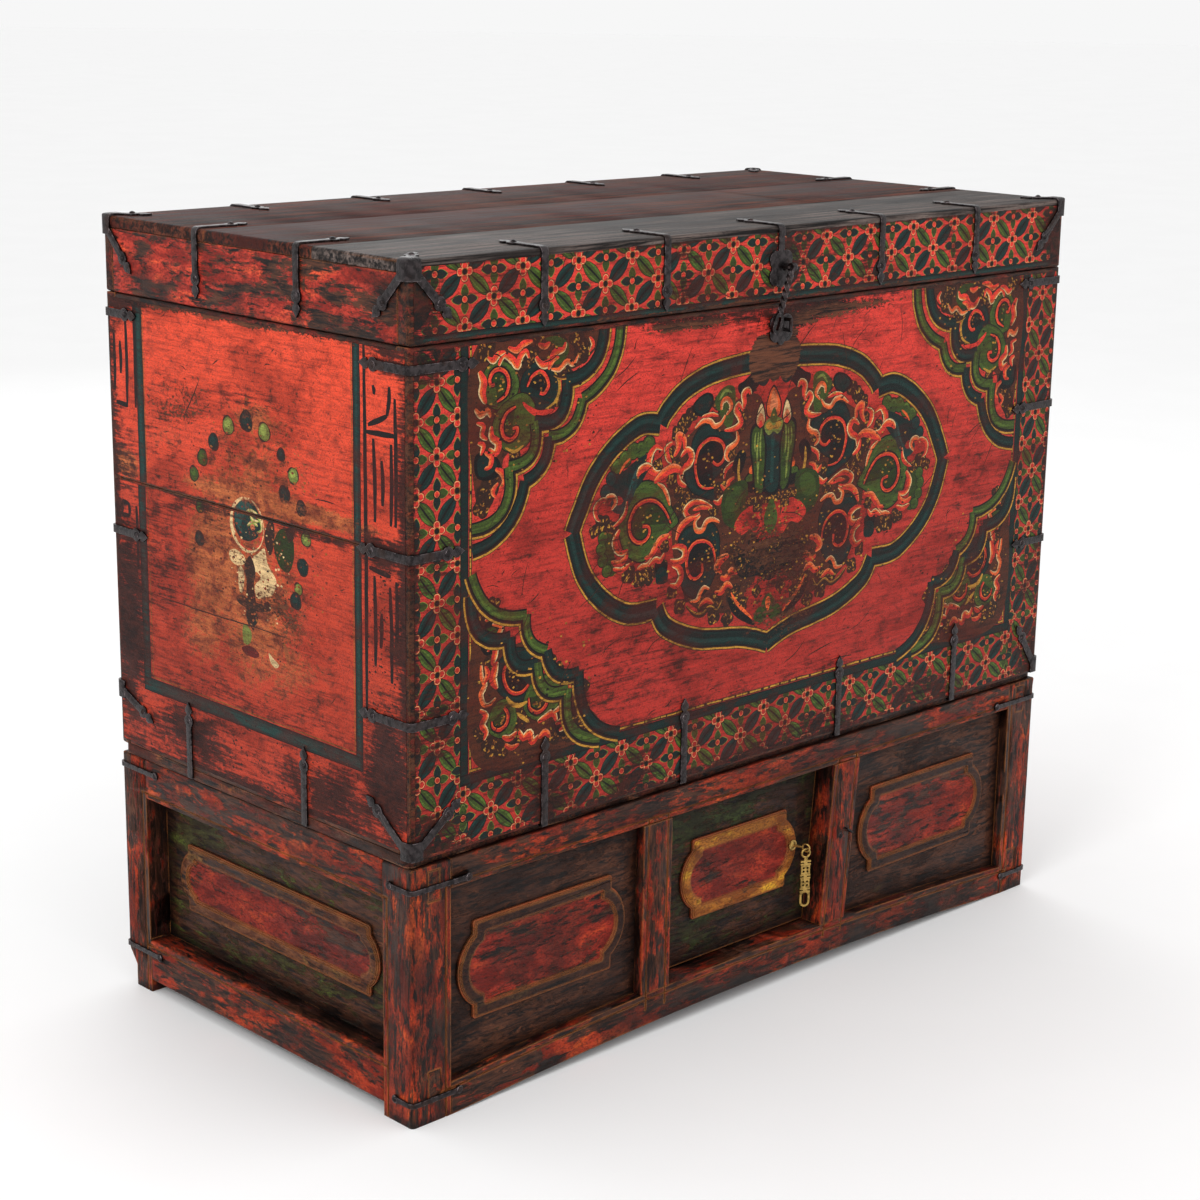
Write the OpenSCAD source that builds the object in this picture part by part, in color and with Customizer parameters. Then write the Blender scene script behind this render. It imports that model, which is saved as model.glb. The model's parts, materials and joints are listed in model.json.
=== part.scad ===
/* [Overall] */
// Width of the whole piece, over the wood
chest_w = 1150; // [1000:10:1300]
// Depth of the whole piece, over the wood
chest_d = 572; // [500:4:700]

/* [Cabinet] */
// Height of the cabinet under the trunk
cab_h = 314; // [290:2:360]
// Width of a corner post, seen from the front
post_w = 58; // [54:1:70]
// Depth of a corner post, seen from the side
post_d = 51; // [46:1:60]
// Height of the front top rail
top_rail_h = 36; // [32:1:46]
// Height of the front bottom rail
bottom_rail_h = 41; // [37:1:50]
// Rise of the bowed bottom rail at its middle
rail_bow = 18; // [8:1:24]
// Depth of the front rails and mullions
front_rail_d = 49; // [48:1:56]
// Thickness of the side rails
side_rail_t = 50; // [46:1:56]
// Thickness of the back rails
back_rail_t = 40; // [30:1:45]
// Height of the side top rails
side_top_h = 52; // [46:1:60]
// Height of the side bottom rails
side_bottom_h = 55; // [44:1:60]
// Height of the side and back bottom rails above the floor
rail_lift = 16; // [10:1:20]
// Width of a front mullion
mullion_w = 49; // [44:1:56]
// Distance from the left edge to the middle of the left mullion
left_mullion_x = 391; // [370:1:410]
// Distance from the left edge to the middle of the right mullion, at its top
right_mullion_x = 745; // [730:1:770]
// How far the right mullion leans to the left at its foot
mullion_lean = 20; // [0:1:24]
// Radius of the worn edges of rails and posts
rail_edge_r = 3; // [2:0.5:4]
// Distance from an opening to the line cut along its frame
line_inset = 7; // [6:0.5:10]

/* [Panels] */
// Depth of the fixed front panels behind the front face
front_recess = 11; // [8:1:13]
// Depth of the side panels behind the side faces
side_recess = 28; // [20:1:30]
// Depth of the back panel behind the back face
back_recess = 8; // [6:1:12]
// Thickness of a panel at its edge
panel_t = 10; // [8:1:12]
// Height of a panel's raised field above its edge
field_rise = 3; // [1:0.5:4]
// Width of the bevel round a panel's raised field
bevel_w = 22; // [10:1:24]
// Depth of the grooves that hold the panels
groove = 8; // [5:1:10]
// Thickness of a plaque
plaque_t = 6; // [4:0.5:8]
// Width of a plaque's border
plaque_border = 15; // [12:1:18]
// Depth of a plaque's sunk centre
plaque_sink = 3; // [2:0.5:3.5]
// Distance from a front plaque's round end to the sides of the narrower front panel
front_plaque_margin = 20; // [14:1:34]
// Height of a front panel's plaque
front_plaque_h = 122; // [106:2:134]
// Shift of the front plaques to the left of their panels
plaque_shift = 10; // [0:1:14]
// Distance from a side plaque's round end to the posts
side_plaque_margin = 36; // [30:1:60]
// Height of a side panel's plaque
side_plaque_h = 89; // [80:1:100]

/* [Door] */
// Depth of the door behind the front face
door_recess = 28; // [26:1:30]
// Thickness of the door
door_t = 18; // [16:1:19]
// Gap between the door and its opening
door_gap = 2; // [1.5:0.5:4]
// Radius of the door's wooden pivots
pivot_r = 5; // [4:0.5:6]
// Length of the door's wooden pivots
pivot_l = 10; // [8:1:14]
// Distance from the door plaque's round end to the sides of the door
door_plaque_margin = 38.5; // [34:0.5:46]
// Distance from the middle of the door to the middle of its plaque
door_plaque_shift = 4; // [0:1:6]
// Height of the door's plaque
door_plaque_h = 107; // [90:1:116]
// Distance from the plaque to the middle of the brass pull's ring
pull_reach = 20; // [14:0.5:22]
// Angle by which the pull's bent pin points to the right
pull_lean = 15; // [0:1:20]
// Angle by which the pendant hangs turned to the left
pendant_turn = 26; // [0:1:28]
// Length of the brass pendant below its eye
pendant_l = 68; // [60:1:72]

/* [Trunk] */
// Height of the trunk without its lid
trunk_h = 583; // [540:1:640]
// Thickness of the trunk's boards
board_t = 20; // [16:1:24]
// Thickness of the trunk's bottom board
bottom_t = 14; // [12:1:18]
// Setback of the bottom board behind the front and back
bottom_setback = 6; // [4:1:8]
// Shadow gap under the front and back boards
foot_gap = 8; // [6:1:10]
// Radius of the trunk's worn top edges
trunk_edge_r = 4; // [2:0.5:6]
// Radius of the trunk's worn corners
corner_r = 5; // [3:0.5:8]
// Radius of the trunk's worn lower corners, seen from the front
foot_corner_r = 12; // [6:1:16]
// Height of the seam between the side boards, below the trunk's top
side_seam = 227; // [180:1:280]

/* [Lid] */
// Height of the lid
lid_h = 91; // [80:1:110]
// Thickness of the lid's top boards
lid_top_t = 14; // [10:1:18]
// Thickness of the lid's rim rails
lid_rail_t = 18; // [14:1:22]
// Width of the front top board
lid_front_board_w = 165; // [140:1:190]
// Width of the middle top board
lid_middle_board_w = 200; // [170:1:220]
// Clearance between the lid and the trunk
lid_gap = 0.3; // [0.2:0.1:0.6]

/* [Iron straps] */
// Width of a strap
strap_w = 10; // [8:0.5:13]
// Thickness of a strap
strap_t = 2.5; // [1.5:0.25:3]
// Width of a strap at its nail
leaf_w = 16; // [14:0.5:20]
// Distance from a strap's point to its nail
nail_back = 24; // [20:0.5:28]
// Radius of a nail's head
nail_r = 4; // [3:0.25:5]
// Height of a nail's head
nail_h = 2.6; // [2:0.2:3.4]
// Radius of a nail's shank
shank_r = 1.5; // [1:0.1:1.8]
// Length of a nail's shank in the wood
shank_l = 11; // [8:0.5:11.5]
// Width of the cabinet's thin corner straps
thin_strap_w = 6; // [5:0.5:8]

/* [Hinges and hasp] */
// Radius of a hinge barrel
barrel_r = 5; // [4.5:0.25:6]
// Radius of a hinge pin
hinge_pin_r = 2.5; // [2:0.1:3]
// Running clearance of a pin in its bore
pin_clearance = 0.05; // [0.02:0.01:0.1]
// Length of a hinge over its three knuckles
hinge_l = 54; // [40:1:70]
// Radius of the iron bar of the hasp's staples
staple_r = 2.2; // [1.8:0.1:2.6]
// Distance from the wood to the middle of a staple's crown
staple_reach = 12; // [10:0.5:14]
// Thickness of the hasp's twisted bar
hasp_bar = 6; // [5:0.25:6.5]
// Length of the hasp from its eye to its loop's middle
hasp_l = 70; // [66:1:76]
// Angle at which the hasp hangs beside its staple
hasp_tilt = 20; // [14:1:26]

/* [Hidden] */
$fn = 48;
RUN = 0.3; // clearance between iron parts that pass each other
BEND = 0.4; // a strap is this much thicker where it is bent round a corner

W = chest_w;
D = chest_d;

// The origin is on the floor below the middle of the whole piece, iron included
eye_r = staple_r + 3.2;
front_proud = staple_reach + eye_r;
barrel_y = barrel_r + RUN;
back_proud = barrel_y + barrel_r;
FRONT = -(D + back_proud - front_proud) / 2;

// Heights above the floor
trunk_top = cab_h + trunk_h;
lid_bottom = trunk_top + lid_gap;
lid_top = lid_bottom + lid_h;
seam_z = trunk_top + lid_gap / 2;
rail_top = cab_h - top_rail_h;
side_open_z = [rail_lift + side_bottom_h, cab_h - side_top_h];
front_open_z = bottom_rail_h;

// The bowed rail is an arc through its two ends and its raised middle
bow_half = (W - 2 * post_w) / 2;
bow_r = (bow_half * bow_half + rail_bow * rail_bow) / (2 * rail_bow);
function bow_top(x) = sqrt(pow(bow_r + bottom_rail_h, 2) - pow(x - W / 2, 2)) + rail_bow - bow_r;

// Mullion faces: the right one leans
door_left = left_mullion_x + mullion_w / 2;
function lean_at(z) = mullion_lean * (rail_top - z) / (rail_top - front_open_z);
function right_mullion_left(z) = right_mullion_x - mullion_w / 2 - lean_at(z);
function right_mullion_right(z) = right_mullion_x + mullion_w / 2 - lean_at(z);

// Door, in its opening
stile_r = door_t / 2;
door_axis = [door_left + 1 + stile_r, door_recess + stile_r];
door_z = [bow_top(W / 2) + door_gap, rail_top - door_gap];
function door_right(z) = right_mullion_left(z) - door_gap;
door_mid_z = (door_z[0] + door_z[1]) / 2 + 4;
door_mid = [(door_left + door_right(door_mid_z)) / 2 + door_plaque_shift, door_mid_z];

// Plaques have round ends that bulge out of a straight bar
function bulge_h(h) = 0.72 * h;
function bulge_out(h) = 0.19 * h;
function bulge_r(h) = (pow(bulge_h(h) / 2, 2) + pow(bulge_out(h), 2)) / (2 * bulge_out(h));
panel_mid_z = (bottom_rail_h + rail_top) / 2 + 6;
left_panel_x = [post_w, left_mullion_x - mullion_w / 2];
right_panel_x = [right_mullion_right(front_open_z), W - post_w];
right_face_x = [right_mullion_right(panel_mid_z), W - post_w];
left_plaque_x = (left_panel_x[0] + left_panel_x[1]) / 2 - plaque_shift / 3;
right_plaque_x = (right_face_x[0] + right_face_x[1]) / 2 - plaque_shift;
front_plaque_l = min(left_panel_x[1] - left_panel_x[0], right_face_x[1] - right_face_x[0])
    - 2 * (front_plaque_margin + bulge_out(front_plaque_h));
side_plaque_l = D - 2 * post_d - 2 * (side_plaque_margin + bulge_out(side_plaque_h));
door_plaque_l = door_right(door_mid_z) - door_left - 2 * (door_plaque_margin + bulge_out(door_plaque_h));

// Pull, on the bulge of the door's plaque
pull_x = door_mid[0] + door_plaque_l / 2 + bulge_out(door_plaque_h) / 2;
pull_z = door_mid[1] + 2;
pull_wire_r = 1.2;
pull_ring_r = 5;
pull_ring = [pull_x + pull_reach * sin(pull_lean), door_recess - plaque_t - pull_reach * cos(pull_lean)];
pendant_wire_r = 1.4;
pendant_eye_r = 5.6;
// The eye hangs round the lowest point of the ring, higher than square on because it is turned
link_gap = 0.8;
pendant_eye_z = pull_z - pull_ring_r + pull_wire_r + pendant_wire_r + link_gap - pendant_eye_r;

// Hasp: the staple on the lid carries the eye, the staple on the trunk takes the loop
hasp_x = W / 2 + 3;
hasp_z = lid_bottom + 42;
hasp_eye = [hasp_x + 9, hasp_z];
eye_l = 7;
loop_drop = hasp_l;
trunk_staple = [hasp_x + 10, hasp_z - hasp_l];

// Joinery
tenon_w = 18;
through_tenon_h = 37;
tenon_inset = 24;
stub_l = 12;
stub_t = 14;
top_board_t = 12;
rebate = 10;
floor_z = 24;
floor_t = 12;

// Where the iron sits: straps over the lid and under the trunk divide the length evenly
lid_front_x = [W / 6, W / 3, 2 * W / 3, 5 * W / 6];
lid_side_y = [D / 3, 2 * D / 3];
lid_top_leg = 74;
hinge_x = [W / 6, W / 2, 5 * W / 6];
lid_back_x = [W / 3, 2 * W / 3];
trunk_front_x = [W * 0.173, W * 0.374, W * 0.624, W * 0.832];
trunk_side_y = [D / 3, 2.2 * D / 3];
bottom_leg_h = 106;
side_leg_h = 97;
// Corner straps: depth below the trunk's top, then the legs on front or back and on the side
front_left_wraps = [[24, 97, 82], [229, 76, 88], [417, 83, 88]];
front_right_wraps = [[17, 90, 84], [187, 92, 88], [378, 76, 86]];
back_wraps = [[24, 80, 66], [293, 84, 76]];
// Thin straps of the cabinet: height, then the legs on front or back and on the side
cab_front_left = [[cab_h - 27, 88, 42], [29, 74, 34]];
cab_front_right = [[cab_h - 27, 92, 42], [27, 60, 40]];
cab_back = [[cab_h - 16, 80, 80], [54, 80, 78]];
// Braces: length and slant of the leg on front or back, then of the leg on the side
front_left_brace = [[88, 38], [92, 36]];
front_right_brace = [[86, 56], [90, 40]];
back_brace = [[84, -20], [82, -24]];
lid_brace_legs = [[80, -46], [80, -46]];
lid_brace_over = 46;

// Colours
function worn_red() = [0.45, 0.13, 0.09];
function dark_wood() = [0.20, 0.12, 0.09];
function brown_wood() = [0.36, 0.23, 0.16];
function iron() = [0.16, 0.15, 0.16];
function brass() = [0.62, 0.52, 0.28];

// Moves a piece from the front left corner of the wood to the origin
module at_origin() {
    translate([-W / 2, FRONT, 0]) children();
}

// A rectangle with some corners rounded, given anticlockwise from the lower left one
module worn_rect(w, h, r, corners = [1, 1, 1, 1]) {
    right = [0, 1, 1, 0];
    high = [0, 0, 1, 1];
    difference() {
        square([w, h]);
        for (i = [0:3])
            if (corners[i] == 1)
                translate([right[i] * (w - r + 1) - 1, high[i] * (h - r + 1) - 1]) square(r + 1);
    }
    for (i = [0:3])
        if (corners[i] == 1)
            translate([right[i] * (w - 2 * r) + r, high[i] * (h - 2 * r) + r]) circle(r);
}

// Extrudes an outline drawn in y and z along x
module along_x(l) {
    rotate([90, 0, 90]) linear_extrude(l) children();
}

// Extrudes an outline drawn in x and z along y
module along_y(l) {
    translate([0, l, 0]) rotate([90, 0, 0]) linear_extrude(l) children();
}

// Faces of the wood: x runs to the right and y runs up, seen from outside
module on_front(x, z) {
    translate([x, 0, z]) rotate([90, 0, 0]) children();
}
module on_back(x, z) {
    translate([x, D, z]) rotate([90, 0, 180]) children();
}
module on_left(y, z) {
    translate([0, y, z]) rotate([90, 0, -90]) children();
}
module on_right(y, z) {
    translate([W, y, z]) rotate([90, 0, 90]) children();
}

// Both copies of a piece that the right side mirrors
module both_sides() {
    children();
    translate([W, 0, 0]) mirror([1, 0, 0]) children();
}

// Cabinet joinery

module side_tenons(z) {
    for (end = [0, 1])
        translate([tenon_inset, end * (D - post_d), z]) cube([tenon_w, post_d, through_tenon_h]);
}

module front_stubs(z, h) {
    for (x = [post_w - stub_l, W - post_w])
        translate([x, front_rail_d - stub_t - 10, z]) cube([stub_l, stub_t, h]);
}

module back_stubs(z, h) {
    for (x = [post_w - stub_l, W - post_w])
        translate([x, D - back_rail_t + 10, z]) cube([stub_l, stub_t, h]);
}

side_top_tenon_z = cab_h - side_top_h + 8;
side_bottom_tenon_z = rail_lift + 10;
front_top_stub_z = rail_top + 6;
front_bottom_stub_z = 10;
stub_h = 20;
back_stub_z = [rail_lift + 10, rail_top + groove + 2];

module tenons() {
    both_sides() {
        side_tenons(side_top_tenon_z);
        side_tenons(side_bottom_tenon_z);
    }
    front_stubs(front_top_stub_z, stub_h);
    front_stubs(front_bottom_stub_z, stub_h);
    for (z = back_stub_z) back_stubs(z, stub_h);
}

module side_panel_blank() {
    translate([side_recess + field_rise, post_d - groove, side_open_z[0] - groove])
        cube([panel_t, D - 2 * post_d + 2 * groove, side_open_z[1] - side_open_z[0] + 2 * groove]);
}

module front_panel_blank(x) {
    translate([x[0] - groove, front_recess + field_rise, front_open_z - groove])
        cube([x[1] - x[0] + 2 * groove, panel_t, rail_top - front_open_z + 2 * groove]);
}

back_open_z = [rail_lift + side_bottom_h, rail_top];

module back_panel_blank() {
    translate([post_w - groove, D - back_recess - panel_t, back_open_z[0] - groove])
        cube([W - 2 * post_w + 2 * groove, panel_t, back_open_z[1] - back_open_z[0] + 2 * groove]);
}

module floor_blank() {
    translate([side_rail_t - rebate, front_rail_d - rebate, floor_z])
        cube([W - 2 * (side_rail_t - rebate), D - front_rail_d - back_rail_t + 2 * rebate, floor_t]);
}

module top_board_blank() {
    translate([side_rail_t - rebate, front_rail_d - rebate, cab_h - top_board_t])
        cube([W - 2 * (side_rail_t - rebate), D - front_rail_d - back_rail_t + 2 * rebate, top_board_t]);
}

module blanks() {
    both_sides() side_panel_blank();
    front_panel_blank(left_panel_x);
    front_panel_blank(right_panel_x);
    back_panel_blank();
    floor_blank();
    top_board_blank();
}

// Shallow lines cut along the frame, beside every front and side opening
line_w = 1.6;
line_depth = 1.2;

module frame_lines() {
    top_z = rail_top + line_inset;
    low_r = bow_r + bottom_rail_h - line_inset;
    reach = line_inset + 6;
    translate([0, -1, 0]) {
        translate([post_w - reach, 0, top_z]) cube([W - 2 * (post_w - reach), 1 + line_depth, line_w]);
        for (x = [post_w - line_inset - line_w, W - post_w + line_inset])
            translate([x, 0, 0]) cube([line_w, 1 + line_depth, top_z]);
        for (x = [left_mullion_x - mullion_w / 2 + line_inset, left_mullion_x + mullion_w / 2 - line_inset - line_w])
            translate([x, 0, front_open_z - 6]) cube([line_w, 1 + line_depth, top_z - front_open_z + 6]);
        along_y(1 + line_depth) {
            for (side = [-1, 1])
                leaning_line(side * (mullion_w / 2 - line_inset) - line_w / 2, top_z);
            intersection() {
                translate([W / 2, rail_bow - bow_r]) difference() {
                    circle(low_r, $fn = 720);
                    circle(low_r - line_w, $fn = 720);
                }
                translate([post_w - reach, 0]) square([W - 2 * (post_w - reach), rail_top]);
            }
        }
    }
    both_sides()
        translate([-1, post_d - line_inset, 0]) {
            for (y = [-line_w, D - 2 * post_d + 2 * line_inset])
                translate([0, y, 0]) cube([1 + line_depth, line_w, cab_h - side_top_h + line_inset + line_w]);
            for (z = [side_open_z[0] - line_inset - line_w, side_open_z[1] + line_inset])
                translate([0, 0, z]) cube([1 + line_depth, D - 2 * post_d + 2 * line_inset, line_w]);
        }
}

// A line that leans with the right mullion
module leaning_line(offset, high) {
    foot = right_mullion_x + offset - mullion_lean;
    head = right_mullion_x + offset;
    polygon([[foot, front_open_z], [foot + line_w, front_open_z], [head + line_w, high], [head, high]]);
}

// The back left foot is worn away at its outer edge
foot_wear = 18;
foot_wear_h = 52;

module worn_foot() {
    on_left(D, 0)
        translate([0, 0, -post_w - 1])
            linear_extrude(post_w + 2)
                polygon([[-1, -1], [foot_wear, -1], [foot_wear, foot_wear_h * 0.55],
                    [0, foot_wear_h], [-1, foot_wear_h]]);
}

module post(x, y, corners) {
    left = corners[0] + corners[3];
    front = corners[0] + corners[1];
    difference() {
        translate([x, y, 0]) intersection() {
            linear_extrude(cab_h) worn_rect(post_w, post_d, corner_r, corners);
            along_y(post_d) worn_rect(post_w, cab_h, corner_r, [0, 0, 1 - left, left]);
            along_x(post_w) worn_rect(post_d, cab_h, rail_edge_r, [0, 0, 1 - front, front]);
        }
        tenons();
        blanks();
        frame_lines();
    }
}

module post_front_left() {
    color(worn_red()) at_origin() post(0, 0, [1, 0, 0, 0]);
}

module post_front_right() {
    color(worn_red()) at_origin() post(W - post_w, 0, [0, 1, 0, 0]);
}

module post_back_left() {
    color(worn_red()) at_origin()
        difference() {
            post(0, D - post_d, [0, 0, 0, 1]);
            worn_foot();
        }
}

module post_back_right() {
    color(worn_red()) at_origin() post(W - post_w, D - post_d, [0, 0, 1, 0]);
}

module door_pivot_hole(z0, z1) {
    translate([door_axis[0], door_axis[1], z0]) cylinder(r = pivot_r + pin_clearance, h = z1 - z0);
}

// A mullion's tenon is rooted in the mullion by tenon_root
tenon_root = 2;
mullion_tenon = [24, stub_t, 10 + tenon_root];

module mullion_tenons(x, high) {
    z = high ? rail_top - tenon_root : bow_top(x) + tenon_root - mullion_tenon[2];
    translate([x - mullion_tenon[0] / 2, front_rail_d - stub_t - 8, z]) cube(mullion_tenon);
}

module front_top_rail() {
    color(worn_red()) at_origin() {
        difference() {
            translate([post_w, 0, rail_top])
                along_x(W - 2 * post_w) worn_rect(front_rail_d, top_rail_h, rail_edge_r, [1, 0, 0, 1]);
            blanks();
            frame_lines();
            door_pivot_hole(rail_top - 1, rail_top + pivot_l + 2);
            mullion_tenons(left_mullion_x, true);
            mullion_tenons(right_mullion_x, true);
        }
        front_stubs(front_top_stub_z, stub_h);
    }
}

right_mullion_foot_x = right_mullion_x - mullion_lean;

module front_bottom_rail() {
    color(worn_red()) at_origin() {
        difference() {
            translate([post_w, 0, 0])
                along_y(front_rail_d)
                    intersection() {
                        translate([bow_half, rail_bow - bow_r])
                            difference() {
                                circle(bow_r + bottom_rail_h, $fn = 720);
                                circle(bow_r, $fn = 720);
                            }
                        square([2 * bow_half, bottom_rail_h + rail_bow + 1]);
                    }
            blanks();
            frame_lines();
            door_pivot_hole(door_z[0] - pivot_l - door_gap - 2, door_z[0]);
            mullion_tenons(left_mullion_x, false);
            mullion_tenons(right_mullion_foot_x, false);
        }
        front_stubs(front_bottom_stub_z, stub_h);
    }
}

// A mullion's foot follows the top edge of the bowed rail
module mullion(top_x, lean) {
    foot_z = bow_top(top_x) - 6;
    difference() {
        along_y(front_rail_d)
            difference() {
                polygon([[top_x - mullion_w / 2 - lean, foot_z], [top_x + mullion_w / 2 - lean, foot_z],
                    [top_x + mullion_w / 2, rail_top], [top_x - mullion_w / 2, rail_top]]);
                translate([W / 2, rail_bow - bow_r]) circle(bow_r + bottom_rail_h, $fn = 720);
            }
        blanks();
        frame_lines();
    }
}

module left_mullion() {
    color(worn_red()) at_origin() {
        mullion(left_mullion_x, 0);
        mullion_tenons(left_mullion_x, true);
        mullion_tenons(left_mullion_x, false);
    }
}

module right_mullion() {
    color(worn_red()) at_origin() {
        mullion(right_mullion_x, mullion_lean);
        mullion_tenons(right_mullion_x, true);
        mullion_tenons(right_mullion_foot_x, false);
    }
}

module side_rail(z, h, tenon_z) {
    difference() {
        union() {
            translate([0, D - post_d, z]) rotate([90, 0, 0])
                linear_extrude(D - 2 * post_d) worn_rect(side_rail_t, h, rail_edge_r, [1, 0, 0, 1]);
            side_tenons(tenon_z);
        }
        blanks();
        frame_lines();
    }
}

module side_top_rails() {
    color(worn_red()) at_origin()
        both_sides() side_rail(side_open_z[1], side_top_h, side_top_tenon_z);
}

module side_bottom_rails() {
    color(worn_red()) at_origin()
        both_sides() side_rail(rail_lift, side_bottom_h, side_bottom_tenon_z);
}

module back_rail(z, h, stub_z) {
    difference() {
        translate([post_w, D - back_rail_t, z])
            along_x(W - 2 * post_w) worn_rect(back_rail_t, h, rail_edge_r, [0, 1, 1, 0]);
        blanks();
    }
    back_stubs(stub_z, stub_h);
}

module back_top_rail() {
    color(dark_wood()) at_origin() back_rail(rail_top, top_rail_h, back_stub_z[1]);
}

module back_bottom_rail() {
    color(dark_wood()) at_origin() back_rail(rail_lift, side_bottom_h, back_stub_z[0]);
}

// A panel's field rises from its edge by a bevel with mitred corners
module raised_field(w, h) {
    linear_extrude(field_rise, scale = [(w - 2 * bevel_w) / w, (h - 2 * bevel_w) / h])
        square([w, h], center = true);
}

field_gap = 2;

module front_panel(x) {
    w = x[1] - x[0] - 2 * field_gap;
    low = bow_top((x[0] + x[1]) / 2) + field_gap;
    h = rail_top - field_gap - low;
    front_panel_blank(x);
    difference() {
        translate([(x[0] + x[1]) / 2, front_recess + field_rise, low + h / 2])
            rotate([90, 0, 0]) raised_field(w, h);
        translate([0, front_recess - 1, 0]) along_y(field_rise + 1) {
            translate([W / 2, rail_bow - bow_r]) circle(bow_r + bottom_rail_h + field_gap / 2, $fn = 720);
            translate([mullion_w / 2 + field_gap / 2, 0]) polygon([[right_mullion_x - mullion_lean - mullion_w, front_open_z],
                [right_mullion_x - mullion_lean, front_open_z], [right_mullion_x, rail_top],
                [right_mullion_x - mullion_w, rail_top]]);
        }
    }
}

module front_left_panel() {
    color(dark_wood()) at_origin() front_panel(left_panel_x);
}

module front_right_panel() {
    color(dark_wood()) at_origin() front_panel(right_panel_x);
}

module side_panel() {
    w = D - 2 * post_d - 2 * field_gap;
    h = side_open_z[1] - side_open_z[0] - 2 * field_gap;
    side_panel_blank();
    translate([side_recess + field_rise, D / 2, (side_open_z[0] + side_open_z[1]) / 2])
        rotate([90, 0, -90]) raised_field(w, h);
}

module left_side_panel() {
    color(dark_wood()) at_origin() side_panel();
}

module right_side_panel() {
    color(dark_wood()) at_origin() translate([W, 0, 0]) mirror([1, 0, 0]) side_panel();
}

module back_panel() {
    color(dark_wood()) at_origin() back_panel_blank();
}

// Outline of a plaque: a bar whose ends bulge in arcs between its four corners
module plaque_outline(l, h, grow) {
    bar_l = l + 2 * grow;
    bar_h = h + 2 * grow;
    r = bulge_r(h) + grow;
    translate([-bar_l / 2, -bar_h / 2]) worn_rect(bar_l, bar_h, 4);
    for (end = [-1, 1])
        translate([end * (l / 2 + bulge_out(h) - bulge_r(h)), 0]) circle(r);
}

// A plaque has a stepped edge, a wide border and a sunk centre with a fillet round it
plaque_steps = [[0, 0.55], [-1.6, 0.8], [-3.6, 1]];

module plaque(l, h) {
    difference() {
        for (s = plaque_steps)
            linear_extrude(plaque_t * s[1]) plaque_outline(l, h, s[0]);
        translate([0, 0, plaque_t - plaque_sink / 2])
            linear_extrude(plaque_t) plaque_outline(l, h, -plaque_border);
        translate([0, 0, plaque_t - plaque_sink])
            linear_extrude(plaque_t) plaque_outline(l, h, -plaque_border - 2.5);
    }
}

module front_plaques() {
    color(worn_red()) at_origin()
        for (x = [left_plaque_x, right_plaque_x])
            translate([x, front_recess, panel_mid_z]) rotate([90, 0, 0])
                plaque(front_plaque_l, front_plaque_h);
}

module side_plaques() {
    color(worn_red()) at_origin()
        both_sides()
            translate([side_recess, D / 2, (side_open_z[0] + side_open_z[1]) / 2])
                rotate([90, 0, -90]) plaque(side_plaque_l, side_plaque_h);
}

module cabinet_floor() {
    color(brown_wood()) at_origin() floor_blank();
}

module cabinet_top_boards() {
    color(brown_wood()) at_origin() top_board_blank();
}

// Door

door_plaque_y = door_recess;

module door_face() {
    polygon([[door_axis[0], door_z[0]], [door_right(door_z[0]), door_z[0]],
        [door_right(door_z[1]), door_z[1]], [door_axis[0], door_z[1]]]);
}

module door_board() {
    field_w = door_right(door_z[0]) - door_axis[0] - field_gap;
    field_h = door_z[1] - door_z[0] - 2 * field_gap;
    color(dark_wood()) at_origin() {
        translate([0, door_recess + field_rise, 0]) along_y(door_t - field_rise) door_face();
        translate([door_axis[0] + (field_w + field_gap) / 2, door_recess + field_rise,
            (door_z[0] + door_z[1]) / 2])
            rotate([90, 0, 0]) raised_field(field_w, field_h);
        translate([door_axis[0], door_axis[1], door_z[0]]) cylinder(r = stile_r, h = door_z[1] - door_z[0]);
        translate([door_axis[0], door_axis[1], door_z[0] - pivot_l])
            cylinder(r = pivot_r, h = door_z[1] - door_z[0] + 2 * pivot_l);
    }
}

module door_plaque() {
    color([0.62, 0.36, 0.10]) at_origin()
        translate([door_mid[0], door_plaque_y, door_mid[1]]) rotate([90, 0, 0])
            plaque(door_plaque_l, door_plaque_h);
}

// A round bar bent into a ring, lying in the plane of x and y
module ring(r, wire_r) {
    rotate_extrude() translate([r, 0]) circle(wire_r, $fn = 24);
}

// A split brass pin: a domed rosette, a bent shank and an upright ring for the pendant
module pull_pin() {
    rosette_r = 7;
    pin_r = 1.8;
    color(brass()) at_origin()
        translate([pull_x, door_recess - plaque_t, pull_z]) {
            rotate([90, 0, 0]) {
                cylinder(r = rosette_r, h = 1.2);
                intersection() {
                    translate([0, 0, -4]) sphere(rosette_r);
                    cylinder(r = rosette_r, h = 4);
                }
                translate([0, 0, -12]) cylinder(r = pin_r, h = 13);
            }
            rotate([90, 0, pull_lean]) cylinder(r = pin_r, h = pull_reach - pull_ring_r + pull_wire_r / 2);
            rotate([0, 0, pull_lean]) translate([0, -pull_reach, 0]) rotate([0, 90, 0])
                ring(pull_ring_r, pull_wire_r);
        }
}

// The pendant: an eye, collars, two pierced blocks and a long loop, in one flat casting
pendant_t = 3;

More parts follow.
